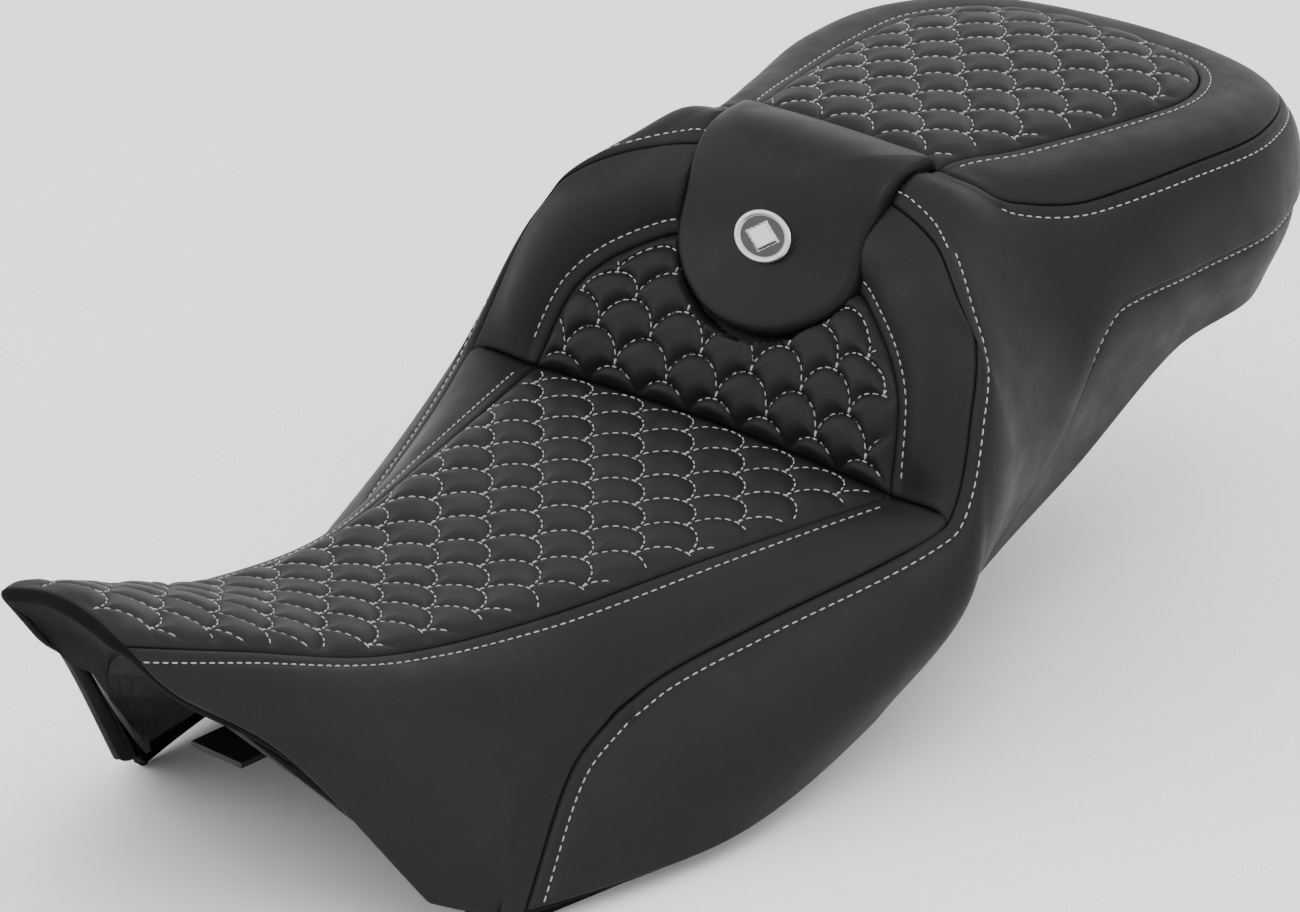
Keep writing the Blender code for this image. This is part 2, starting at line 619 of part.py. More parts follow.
def make_receiver():
    """Steel socket for the backrest post, standing on a foot that is bolted to the pan."""
    outer, foot = socket_outer(), foot_half()
    base = over_pan(0, SOCKET_Y, foot)
    socket = box("backrest_receiver", (-foot[0], SOCKET_Y - foot[1], base),
                 (foot[0], SOCKET_Y + foot[1], base + SOCKET_FOOT), black_steel())
    tube = box("receiver_tube_blank", (-outer[0], SOCKET_Y - outer[1], base + SOCKET_FOOT / 2),
               (outer[0], SOCKET_Y + outer[1], base + SOCKET_HEIGHT), None, CUTTERS)
    joined(socket, tube)
    inside = box("receiver_bore_cutter", (-POST_WIDTH / 2, SOCKET_Y - POST_DEPTH / 2, base - 0.02),
                 (POST_WIDTH / 2, SOCKET_Y + POST_DEPTH / 2, base + SOCKET_HEIGHT + 0.02), None, CUTTERS)
    cut_by(socket, inside)
    x = outer[0] + BOLT_ROOM / 2
    for side, place in (("left", x), ("right", -x)):
        bolt = drum(f"receiver_bolt_{side}", BOLT_HEAD_RADIUS, 0.0, BOLT_HEAD, steel(), sides=6)
        shank = drum(f"receiver_bolt_shank_{side}", BOLT_RADIUS, -BOLT_LENGTH, BOLT_HEAD / 2, None,
                     CUTTERS, 16)
        joined(bolt, shank)
        for piece in (bolt, shank):
            piece.location = (place, SOCKET_Y, base + SOCKET_FOOT + TOUCH_GAP)
        hole = drum(f"receiver_bolt_hole_{side}", BOLT_RADIUS + TOUCH_GAP, -0.03, 0.01, None, CUTTERS, 16)
        hole.location = (place, SOCKET_Y, base)
        cut_by(socket, hole)
        cut_by(bpy.data.objects["seat_pan"], hole)


def plate_under(name, x, y, half, thickness, material):
    """Flat plate held under the pan."""
    top = under_pan(x, y, half)
    plate = box(name, (x - half[0], y - half[1], top - thickness), (x + half[0], y + half[1], top), material)
    return plate, top


def rivet(name, x, y, top, plate):
    """Rivet whose head sits under a plate and whose shank passes through the plate and the pan."""
    head = drum(name, RIVET_RADIUS, -RIVET_HEAD, 0.0, steel(), top_radius=RIVET_RADIUS)
    shank = drum(name + "_shank", RIVET_SHANK, -RIVET_HEAD / 2, RIVET_LENGTH, None, CUTTERS, 16)
    hole = drum(name + "_hole", RIVET_SHANK + TOUCH_GAP, -0.004, RIVET_LENGTH + 0.004, None, CUTTERS, 16)
    joined(head, shank)
    for piece in (head, shank, hole):
        piece.location = (x, y, top - BRACKET_PLATE - TOUCH_GAP)
    cut_by(plate, hole)
    cut_by(bpy.data.objects["seat_pan"], hole)


def make_brackets():
    """Hook plate at the front, tab with a bolt boss at the tail, and the rivets that hold them."""
    half = (TONGUE_WIDTH / 2, BRACKET_REACH)
    plate, top = plate_under("front_hook_bracket", 0.0, FRONT_BRACKET_Y, half, BRACKET_PLATE, black_steel())
    front, width = FRONT_BRACKET_Y - half[1], half[0] * 0.6
    joined(plate, box("front_hook_drop", (-width, front, top - HOOK_DROP),
                      (width, front + BRACKET_PLATE, top - BRACKET_PLATE / 2), None, CUTTERS))
    joined(plate, box("front_hook_tongue", (-width, front - TONGUE_REACH, top - HOOK_DROP),
                      (width, front + BRACKET_PLATE / 2, top - HOOK_DROP + BRACKET_PLATE), None, CUTTERS))
    for side, sign in (("left", 1), ("right", -1)):
        place = (sign * FRONT_RIVET_PLACE[0], FRONT_BRACKET_Y + FRONT_RIVET_PLACE[1])
        rivet(f"front_bracket_rivet_{side}", *place, top, plate)
    half = (REAR_TAB_WIDTH / 2, REAR_TAB_REACH)
    plate, top = plate_under("rear_mount_tab", 0.0, REAR_TAB_Y, half, BRACKET_PLATE, black_steel())
    low = -BRACKET_PLATE - REAR_BOSS_HEIGHT
    boss = drum("rear_tab_boss", REAR_BOSS_RADIUS, low, -BRACKET_PLATE / 2, None, CUTTERS, 24)
    hole = drum("rear_tab_bolt_hole", REAR_BOLT_RADIUS, 2 * low, -low, None, CUTTERS, 20)
    for blank in (boss, hole):
        blank.location = (0, REAR_TAB_Y + REAR_BOLT_PLACE, top)
    joined(plate, boss)
    cut_by(plate, hole)
    for side, sign in (("left", 1), ("right", -1)):
        place = (sign * REAR_RIVET_PLACE[0], REAR_TAB_Y + REAR_RIVET_PLACE[1])
        rivet(f"rear_tab_rivet_{side}", *place, top, plate)


def make_rubbers():
    """Pad on the backbone and bumpers on the frame rails."""
    half = (PAD_WIDTH / 2, PAD_LENGTH / 2)
    top = under_pan(0.0, 0.0, half)
    rounded(box("frame_pad", (-half[0], -half[1], 0.0), (half[0], half[1], top), rubber()), 0.003)
    for name, (x, y) in (("front_bumper", FRONT_BUMPER_PLACE), ("rear_bumper", REAR_BUMPER_PLACE)):
        top = under_pan(x, y, BUMPER_RADIUS, is_round=True)
        for side, sign in (("left", 1), ("right", -1)):
            foot = drum(f"{name}_{side}", BUMPER_RADIUS * 0.8, -BUMPER_HEIGHT, 0.0, rubber(),
                        top_radius=BUMPER_RADIUS)
            foot.location = (sign * x, y, top)


def tongue_outline(count):
    """Closed outline of the flap as (u, v) places: round tip, straight sides, top edge along the crest."""
    side = np.linspace(0, 1, count) ** 0.8
    u = FLAP_TIP + (FLAP_TOP - FLAP_TIP) * (1 - np.cos(side * math.pi)) / 2
    half = flap_half_width(u)
    scale = abs(surface(u, np.full_like(u, QUILT))[:, 0])
    v = QUILT * np.minimum(half / scale, 1.06)
    top = np.linspace(1, -1, 7)[1:-1]
    places = [(a, b) for a, b in zip(u, v)] + [(FLAP_TOP, v[-1] * t) for t in top]
    places += [(a, -b) for a, b in zip(u[:0:-1], v[:0:-1])]
    return np.array(places)


def tongue_solid(name, profile, material, collection=PARTS):
    """Body of the flap's outline: a profile of (share of the way to the edge, height) carried around it."""
    outline = tongue_outline(12)
    centre = np.array([(FLAP_TIP + FLAP_TOP) / 2 + 0.1, 0.0])
    rings = []
    for share, height in profile:
        places = centre + (outline - centre) * max(share, 1e-4)
        u, v = places[:, 0], places[:, 1]
        rings.append(surface(u, v) + height * normal(u, v))
    around = len(outline)
    points = np.concatenate(rings[1:-1])
    faces = []
    for ring in range(len(profile) - 3):
        for k in range(around):
            a, b = ring * around + k, ring * around + (k + 1) % around
            faces.append((a, a + around, b + around, b))
    first, last = len(points), len(points) + 1
    final = (len(profile) - 3) * around
    points = np.concatenate([points, rings[0][:1], rings[-1][:1]])
    faces += [(first, k, (k + 1) % around) for k in range(around)]
    faces += [(last, final + (k + 1) % around, final + k) for k in range(around)]
    mesh = mesh_of(name, points, faces)
    work = bmesh.new()
    work.from_mesh(mesh)
    bmesh.ops.recalc_face_normals(work, faces=work.faces)
    work.to_mesh(mesh)
    work.free()
    return link(name, mesh, material, collection)


def crown(share, edge, middle):
    """Height of the flap's face: from its middle down to its edge."""
    return edge + (middle - edge) * (1 - share ** 2.4)


def flap_layer(name, reach, top, bottom, material):
    """One layer of the flap, out to a share of its outline, between two heights."""
    shares = [share for share in FLAP_SHARES if share < reach - 0.03] + [reach]
    upper = [(share, top(share)) for share in shares]
    lower = [(share, bottom(share)) for share in reversed(shares)]
    return tongue_solid(name, upper + lower, material)


def make_flap():
    """Lift-up flap: cover, foam, board and lining over the socket, hinged at the crest."""
    lining_bottom = -FLAP_RECESS + FLAP_GAP + CLOSURE_THICKNESS * 2 + TOUCH_GAP * 2
    lining_top = lining_bottom + FLAP_LINING
    board_bottom = lining_top + LAYER_GAP
    board_top = board_bottom + FLAP_BOARD
    foam_bottom = board_top + LAYER_GAP

    def face(share):
        return crown(share, FLAP_EDGE_RISE, FLAP_CROWN)

    outside = [(s, face(s)) for s in FLAP_SHARES] + [(0.97, face(0.97)), (1.0, 0.0), (1.0, lining_bottom)]
    inside = [(s, face(s) - COVER) for s in FLAP_SHARES]
    inside = [(0.95, lining_bottom), (0.95, 0.0)] + inside[::-1]
    tongue_solid("flap_cover", outside + inside, vinyl())
    flap_layer("flap_foam", 0.86, lambda s: face(s) - COVER - LAYER_GAP, lambda s: foam_bottom, foam())
    flap_layer("flap_board", 0.91, lambda s: board_top, lambda s: board_bottom, plastic())
    flap_layer("flap_lining", 0.93, lambda s: lining_top, lambda s: lining_bottom, vinyl())


def make_closure():
    """Hook and loop patches under the flap's tip, one on the flap and one on the seat."""
    rows = np.linspace(6.45, 6.85, 5)
    places = between([(u, -0.55) for u in rows], [(u, 0.55) for u in rows], 7)
    u, v = places[..., 0].ravel(), places[..., 1].ravel()
    loop_top = FLAP_RECESS - FLAP_GAP - CLOSURE_THICKNESS * 2 - TOUCH_GAP
    hook_top = FLAP_RECESS - TOUCH_GAP - CLOSURE_THICKNESS
    for name, depth in (("flap_closure_loop", loop_top), ("seat_closure_hook", hook_top)):
        faces = [(surface(u, v) - extra * normal(u, v)).reshape(5, 7, 3)
                 for extra in (depth, depth + CLOSURE_THICKNESS)]
        closed_loft(name, faces[0], faces[1], finish("closure_tape", (0.02, 0.02, 0.02), 0.95))


def make_emblem():
    """Plain oval badge on the flap's face."""
    u = np.array([EMBLEM_STATION])
    base = surface(u, np.zeros(1))[0]
    facing = normal(u, np.zeros(1))[0]
    badge = drum("flap_emblem", 0.5, 0.0, EMBLEM_THICKNESS, steel(), sides=32)
    badge.data.transform(Matrix.Diagonal((EMBLEM_WIDTH, EMBLEM_HEIGHT, 1.0, 1.0)))
    badge.rotation_euler = (math.atan2(-facing[1], facing[2]), 0, 0)
    badge.location = base + facing * (crown(0.3, FLAP_EDGE_RISE, FLAP_CROWN) + EMBLEM_STANDOFF)


def main():
    start_scene()
    make_pan()
    make_covers()
    make_foams()
    gel_pad("rider_gel_pad", "rider_foam", (2.9, 4.5), 1.35)
    gel_pad("passenger_gel_pad", "passenger_foam", (9.6, 11.6), 1.2)
    make_receiver()
    make_brackets()
    make_rubbers()
    make_flap()
    make_closure()
    make_emblem()


main()
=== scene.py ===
"""Finished look of a two-up touring motorcycle seat: quilted vinyl, seams, stitching, flap, underside."""
import json
import math

import bpy
import numpy as np
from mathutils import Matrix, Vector

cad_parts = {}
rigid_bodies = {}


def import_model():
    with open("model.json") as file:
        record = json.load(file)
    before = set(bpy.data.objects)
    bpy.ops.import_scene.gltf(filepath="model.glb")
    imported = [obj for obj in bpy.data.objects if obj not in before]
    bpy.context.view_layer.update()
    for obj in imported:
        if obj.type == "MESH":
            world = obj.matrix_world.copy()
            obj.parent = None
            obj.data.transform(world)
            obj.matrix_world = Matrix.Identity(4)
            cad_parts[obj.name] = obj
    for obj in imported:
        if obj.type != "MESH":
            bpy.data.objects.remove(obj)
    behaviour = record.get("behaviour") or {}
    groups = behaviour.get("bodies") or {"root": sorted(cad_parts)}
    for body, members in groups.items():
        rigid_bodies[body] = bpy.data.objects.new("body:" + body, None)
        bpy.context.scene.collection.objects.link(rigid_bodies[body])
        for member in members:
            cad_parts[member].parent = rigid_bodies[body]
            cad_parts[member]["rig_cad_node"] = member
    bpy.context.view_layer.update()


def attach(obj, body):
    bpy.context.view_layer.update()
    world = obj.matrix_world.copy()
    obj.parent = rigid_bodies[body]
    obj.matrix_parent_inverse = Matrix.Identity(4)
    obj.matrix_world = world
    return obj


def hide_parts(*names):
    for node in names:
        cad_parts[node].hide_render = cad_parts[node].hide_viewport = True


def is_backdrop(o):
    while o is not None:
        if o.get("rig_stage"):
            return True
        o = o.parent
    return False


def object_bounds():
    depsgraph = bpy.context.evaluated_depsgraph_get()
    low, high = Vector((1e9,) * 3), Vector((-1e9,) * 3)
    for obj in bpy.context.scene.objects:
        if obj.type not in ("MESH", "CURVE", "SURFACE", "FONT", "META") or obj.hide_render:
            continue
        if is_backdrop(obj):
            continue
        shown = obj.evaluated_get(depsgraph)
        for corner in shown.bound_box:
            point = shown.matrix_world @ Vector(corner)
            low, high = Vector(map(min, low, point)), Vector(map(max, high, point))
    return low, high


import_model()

bl_info = {
    "name": "Touring Seat Upholstery",
    "version": (1, 0, 0),
    "blender": (4, 5, 0),
    "location": "3D View > Sidebar > Seat",
    "description": "Covers, quilting, stitching and hardware finishes of a two-up touring motorcycle seat",
    "category": "Object",
}

# The outer surface: stations from nose to tail, in millimetres, each from the middle line over the quarter,
# the quilt seam, the shoulder seam and the flank to the hem. It repeats the design of the frame's covers.
STATIONS = {
    "nose edge": [
        (0, -452, 144), (26, -452, 140), (44, -451, 131), (51, -428, 100), (80, -382, 58), (112, -322, -32)],
    "neck": [
        (0, -385, 116), (26, -385, 113), (50, -384, 107), (70, -372, 82), (104, -338, 36), (124, -308, -38)],
    "front": [
        (0, -300, 84), (31, -300, 82), (61, -300, 78), (88, -285, 58), (118, -285, 12), (134, -296, -41)],
    "side seam": [
        (0, -205, 70), (37, -205, 69), (73, -205, 67), (112, -172, 37), (119, -226, 6), (142, -284, -42)],
    "dish": [
        (0, -100, 77), (50, -100, 76), (99, -98, 74), (142, -80, 54), (166, -110, 10), (163, -160, -43)],
    "crease": [
        (0, 10, 84), (64, 9, 83), (127, 6, 81), (171, 0, 80), (186, -18, 35), (158, -50, -24)],
    "backrest": [
        (0, 30, 124), (60, 28, 123), (117, 23, 121), (163, 28, 134), (180, 18, 60), (152, -4, -3)],
    "inner arch": [
        (0, 60, 168), (52, 57, 165), (98, 42, 154), (154, 42, 160), (172, 45, 80), (145, 30, 5)],
    "outer arch": [
        (0, 78, 211), (50, 77, 210), (95, 70, 201), (141, 53, 178), (160, 75, 100), (138, 60, 12)],
    "pillion front": [
        (0, 112, 221), (34, 112, 220), (67, 114, 217), (108, 122, 198), (150, 125, 112), (130, 95, 21)],
    "pillion mid": [
        (0, 170, 223), (40, 170, 221), (80, 168, 217), (124, 172, 197), (147, 168, 142), (126, 165, 46)],
    "pillion wide": [
        (0, 225, 225), (47, 227, 222), (94, 235, 217), (140, 235, 203), (149, 235, 147), (128, 245, 89)],
    "rear corner": [
        (0, 255, 225), (49, 272, 222), (97, 293, 217), (140, 305, 204), (146, 315, 150), (128, 315, 100)],
    "rear quarter": [
        (0, 270, 225), (33, 303, 222), (66, 336, 216), (100, 366, 203), (104, 376, 153), (90, 366, 108)],
    "tail": [
        (0, 280, 225), (0, 314, 222), (0, 347, 215), (0, 390, 202), (0, 398, 156), (0, 386, 108)],
}
CREASE, PILLION, TAIL = 5, 9, 14
QUILT, HEM = 2.0, 5.0
MIRROR = np.array([-1.0, 1.0, 1.0])
RIBS = np.array(list(STATIONS.values())) * 0.001

# The flap: its stations, half width, growth towards the hinge, height at the edge and in the middle, and the
# roundness of its edge; then the hollow it lies in: its depth, and the gap and the slope round the flap.
FLAP_TIP, FLAP_ROUND, FLAP_TOP = 6.12, 7.25, 8.97
FLAP_HALF, FLAP_GROWTH = 0.062, 0.06
FLAP_EDGE, FLAP_CROWN, FLAP_ROLL = 0.0062, 0.0128, 0.0048
FLAP_SKIN, FLAP_SKIRT = 0.0018, 0.0036
FLAP_DEPTH, FLAP_GAP, FLAP_SLOPE = 0.0075, 0.0030, 0.0034

# The badge: half width, half height, height of its plate, rim and diamond, and the diamond's half sizes.
BADGE_STATION = 7.12
BADGE_HALF = (0.0195, 0.0140)
BADGE_PLATE, BADGE_RIM, BADGE_DIAMOND = 0.0012, 0.0009, 0.0011
DIAMOND_HALF = (0.0115, 0.0082)

# Covers: depth of the back, the dent along a topstitch with its half width, and the shape of a quilted
# scale: how far its swelling reaches, how full it is, and how fast it fades towards a seam. An edge rounder
# than SEWN_RADIUS counts as sewn: the seam at the tail does, the open edges at the nose and the hem don't.
# Stitches of the quilting stop at a margin from the seams.
COVER_DEPTH = 0.0042
TOPSTITCH_DENT, DENT_WIDTH = 0.0008, 0.0017
SCALE_REACH, SCALE_FULLNESS, SCALE_FADE = 0.0092, 0.6, 0.005
SEWN_RADIUS = 0.002
SIDES = ("first", "last", "start", "end")
OPEN_EDGE, TAIL_EDGE = 0.0018, 0.0022
STITCH_MARGIN = 0.0035

# The cover's turned-under edge: how far it reaches down, its roundness, how far it is tucked under, how much
# more under the nose, how it leans back there, and how far it hangs at the knees and at which station.
HEM_DROP, HEM_ROUND, HEM_TUCK, NOSE_TUCK = 0.0022, 0.0035, 0.010, 0.027
NOSE_LEAN, KNEE_SAG, KNEE_STATION = 0.8, 0.013, 2.2

# Seam lines as (station, place across) corners.
SIDE_SEAM = [(3, v) for v in np.linspace(5, 3.4, 9)]
SIDE_SEAM += [(3.12, 3.15), (3.35, 3.03), (3.7, 3), (4.13, 3), (4.57, 3), (5, 3)]
CREASE_END = [(5, 2), (5, 2.33), (5, 2.67)]
ROLL_INNER = [(5, 2), (5.4, 2), (5.8, 2), (6.2, 2), (6.5, 1.98), (6.75, 1.9), (6.92, 1.7)]
ROLL_INNER += [(7, v) for v in np.linspace(1.4, 0, 10)]
ROLL_OUTER = [(5, 3), (5.5, 3), (6, 3), (6.5, 3), (7, 3), (7.45, 2.93), (7.8, 2.65), (7.97, 2.3)]
ROLL_OUTER += [(8, v) for v in np.linspace(2.0, 0.9, 6)] + [(8, 0.6), (8, 0.3), (8, 0)]
BORDER_FRONT = [(9, 0.9), (9, 1.3), (9, 1.65), (9, 2), (9, 2.45), (9.08, 2.84), (9.42, 2.98)]
BORDER_OUTER = [(u, 3) for u in np.linspace(10, 14, 13)]
BORDER_INNER = [(9, 2), (9.2, 2), (9.55, 2)] + [(u, 2) for u in np.linspace(10, 14, 13)]
LOWER_CURVE = np.array([(8, 5), (8.12, 4.93), (8.4, 4.77), (8.7, 4.6), (9, 4.45), (9.5, 4.15), (10, 4),
                        (14, 4)])
WRAP_TOP = SIDE_SEAM[8:] + ROLL_OUTER[1:-3] + [(8.33, 0.9), (8.67, 0.9)] + BORDER_FRONT + BORDER_OUTER
WRAP_FOOT = list(np.linspace(3.3, 7.5, 11)) + [7.8] + list(np.linspace(8.0, 8.4, 7)) + [8.47, 8.53]
WRAP_FOOT += [8.6, 8.7, 8.8, 8.9, 9.1, 9.3, 9.6] + list(np.linspace(10, 14, 13))


def lower_edge(u):
    """Where the wrap panel ends: on the hem, then on the seam above the passenger skirt."""
    return u, float(np.interp(u, LOWER_CURVE[:, 0], LOWER_CURVE[:, 1]))


WRAP_BOTTOM = [(3, 5)] + [lower_edge(u) for u in WRAP_FOOT]
SKIRT_TOP = [lower_edge(u) for u in [8.2] + WRAP_FOOT if u > 8.25 or u == 8.2]


def between_two(a, b, c, d, t):
    """Catmull-Rom: the cubic from b at t = 0 to c at t = 1, with slopes (c - a) / 2 and (d - b) / 2."""
    return 0.5 * (2 * b + (c - a) * t + (2 * a - 5 * b + 4 * c - d) * t ** 2
                  + (3 * b - a - 3 * c + d) * t ** 3)


def catmull(points, knots):
    """Catmull-Rom curve through extended points at knots 0, 1, 2 ..."""
    cell = np.clip(np.floor(knots).astype(int), 0, len(points) - 4)
    t = (knots - cell).reshape((-1,) + (1,) * (points.ndim - 1))
    return between_two(*(points[cell + step] for step in range(4)), t)


def extended(points, to_mirror=False):
    """One more point before and after, so that the curve reaches both ends."""
    after = points[-2] * MIRROR if to_mirror else 2 * points[-1] - points[-2]
    return np.concatenate([[2 * points[0] - points[1]], points, [after]])


SMOOTH_RIBS = extended(RIBS, True)
SEAT_RIBS = extended(RIBS[:CREASE + 1])
REAR_RIBS = extended(RIBS[CREASE:], True)


def surface(u, v):
    """Outer surface: Catmull-Rom through the stations along u, and through each station along v. Inside the
    shoulders the curve along u stops at the crease and starts afresh, so the crease stays sharp."""
    along = abs(v)
    smooth = catmull(SMOOTH_RIBS, u)
    seat = catmull(SEAT_RIBS, np.minimum(u, CREASE))
    rear = catmull(REAR_RIBS, np.maximum(u - CREASE, 0.0))
    sharp = np.where((u < CREASE)[:, None, None], seat, rear)
    ribs = sharp + (smooth - sharp) * np.clip(np.arange(6) - 2.5, 0, 1)[None, :, None]
    ribs = np.concatenate([ribs[:, 1:2] * MIRROR, ribs, 2 * ribs[:, -1:] - ribs[:, -2:-1]], axis=1)
    cell = np.clip(np.floor(along).astype(int), 0, 4)
    t = (along - cell)[:, None]
    row = np.arange(len(u))
    point = between_two(*(ribs[row, cell + step] for step in range(4)), t)
    point[:, 0] *= np.where(v < 0, -1.0, 1.0)
    return point


def normal(u, v):
    """Unit normal of the outer surface by small steps that stay on one side of the crease."""
    step = 0.02
    low = np.where((u >= CREASE) & (u < CREASE + step), CREASE, u - step)
    high = np.where((u < CREASE) & (u > CREASE - step), CREASE - 1e-6, u + step)
    low, high = np.clip(low, 0, TAIL - 0.12), np.clip(high, 0.02, TAIL - 0.1)
    wide = np.where((abs(v) < 0.3) & (u > PILLION), 0.3, step)
    place = np.clip(u, 0, TAIL - 0.11)
    across = surface(place, np.clip(v + wide, -HEM, HEM)) - surface(place, np.clip(v - wide, -HEM, HEM))
    facing = np.cross(across, surface(high, v) - surface(low, v))
    return unit(np.where((u > TAIL - 0.05)[:, None], facing * [0.0, 1.0, 1.0], facing))


def smoothstep(low, high, value):
    """0 below low, 1 above high, and 3t^2 - 2t^3 between them."""
    share = np.clip((value - low) / (high - low), 0, 1)
    return share * share * (3 - 2 * share)


def eased(values, times):
    """A closed row of values, averaged this many times as (before + 2 own + after) / 4."""
    for _ in range(times):
        values = (np.roll(values, 1, axis=0) + 2 * values + np.roll(values, -1, axis=0)) / 4
    return values


def unit(vectors):
    """Vectors of length 1."""
    return vectors / np.maximum(np.linalg.norm(vectors, axis=-1, keepdims=True), 1e-12)


def curve(corners, knots):
    """Catmull-Rom curve through corner places, kept on the surface."""
    corners = np.array(corners, float)
    ring = np.concatenate([[2 * corners[0] - corners[1]], corners, [2 * corners[-1] - corners[-2]]])
    places = catmull(ring, knots)
    return np.clip(places, [0, -HEM], [TAIL, HEM])


def reach_of(points):
    """Length along a line of points."""
    return np.concatenate([[0], np.cumsum(np.linalg.norm(np.diff(points, axis=0), axis=1))])


def crowded(count):
    """Shares from 0 to 1, with three more near each end so that a sewn edge gets a round shape."""
    plain = np.linspace(0, 1, count)
    ends = plain[1] * np.array([0.1, 0.28, 0.55])
    return np.unique(np.concatenate([plain, ends, 1 - ends]))


def place_grid(first, last, cell):
    """Grid of (u, v) places ruled between two lines of paired corners, its rows and columns a cell apart."""
    fine = np.linspace(0, len(first) - 1, 40 * (len(first) - 1) + 1)
    starts, ends = curve(first, fine), curve(last, fine)
    reach = reach_of(surface(*starts.T)) + reach_of(surface(*ends.T))
    width = np.linalg.norm(surface(*starts.T) - surface(*ends.T), axis=1).max() * 1.1
    knots = np.interp(crowded(int(reach[-1] / 2 / cell) + 2) * reach[-1], reach, fine)
    starts, ends = curve(first, knots), curve(last, knots)
    share = crowded(int(width / cell) + 2)
    return starts[:, None] + (ends - starts)[:, None] * share[None, :, None]


def distance_to(points, line, longest=0.0025):
    """Distance of every point to a line of straight pieces, worked out in slices to save memory."""
    skip = max(1, int(longest / max(reach_of(line)[-1] / len(line), 1e-6)))
    line = np.concatenate([line[:-1:skip], line[-1:]]).astype(np.float32)
    start, step = line[:-1], np.diff(line, axis=0)
    square = np.maximum((step ** 2).sum(axis=1), 1e-12)
    found = []
    for low in range(0, len(points), 2500):
        part = points[low:low + 2500, None].astype(np.float32) - start
        share = np.clip((part * step).sum(axis=2) / square, 0, 1)
        gap = part - share[..., None] * step
        found.append(np.sqrt((gap * gap).sum(axis=2).min(axis=1)))
    return np.concatenate(found).astype(float)


def edge_round(gap, radius):
    """A sewn edge: a quarter circle that dives into the seam by its radius."""
    share = np.clip(gap, 0, radius)
    return np.sqrt(np.maximum(radius ** 2 - (radius - share) ** 2, 0)) - radius


def tongue_half(u, tip, gap):
    """Half width of a tongue at station u: a half ellipse from its tip to the round's end, then straight
    sides that grow towards the hinge. A gap may be added all round."""
    reach = np.clip((FLAP_ROUND - u) / (FLAP_ROUND - tip), 0, 1)
    growth = 1 + FLAP_GROWTH * np.clip((u - FLAP_ROUND) / (PILLION - FLAP_ROUND), 0, 1)
    return (FLAP_HALF * growth + gap) * np.sqrt(1 - reach ** 2)


def flap_hollow(u, x):
    """Depth of the hollow under the flap: flat to just outside the flap's edge, then a short slope up."""
    tip = FLAP_TIP - 0.10
    inside = tongue_half(u, tip, FLAP_GAP) - abs(x)
    return FLAP_DEPTH * smoothstep(0.0, FLAP_SLOPE, inside) * ((u < PILLION - 0.002) & (u > tip))


def scale_distance(x, y, width, pitch):
    """Distance to the nearest arc of a fish-scale pattern: rows of half ellipses a scale wide and one pitch
    high, every second row moved by half a scale, so that its feet stand on the crowns of the row below."""
    nearest = np.full_like(x, 1.0)
    for step in (-1, 0):
        row = np.floor(y / pitch) + step
        across = (x - np.where(row % 2 == 0, 0.0, width / 2) + width / 2) % width - width / 2
        radius = np.hypot(across / (width / 2), (y - row * pitch) / pitch)
        nearest = np.minimum(nearest, abs(radius - 1) * (width / 2 + pitch) / 2)
    return nearest


class Patch:
    """Grid of points on the plain surface, with its normals, its depth of hollow and its pattern rows."""

    def __init__(self, base, facing, hollow, along=None):
        self.base, self.facing, self.hollow, self.along = base, facing, hollow, along

    @classmethod
    def ruled(cls, first, last, cell, along=False):
        places = place_grid(first, last, cell)
        u, v = places[..., 0].ravel(), places[..., 1].ravel()
        shape = places.shape[:2]
        base = surface(u, v)
        rows = np.interp(places[:, 0, 0], ARC_STATIONS, ARC_LENGTH) - CREASE_LENGTH if along else None
        return cls(base.reshape(shape + (3,)), normal(u, v).reshape(shape + (3,)),
                   flap_hollow(u, base[:, 0]).reshape(shape), rows)

    def with_mirror_image(self):
        """The same patch carried over the middle plane, where its mirror image follows backwards."""
        base = np.concatenate([self.base, (self.base[:-1] * MIRROR)[::-1]])
        facing = np.concatenate([self.facing, (self.facing[:-1] * MIRROR)[::-1]])
        return Patch(base, facing, np.concatenate([self.hollow, self.hollow[:-1][::-1]]))

    def side(self, name):
        """Points of one of the four sides."""
        sides = {"first": self.base[:, 0], "last": self.base[:, -1], "start": self.base[0],
                 "end": self.base[-1]}
        return sides[name]


ARC_STATIONS = np.linspace(0, TAIL, 2801)
ARC_LENGTH = reach_of(surface(ARC_STATIONS, np.zeros_like(ARC_STATIONS)))
CREASE_LENGTH = float(np.interp(CREASE, ARC_STATIONS, ARC_LENGTH))


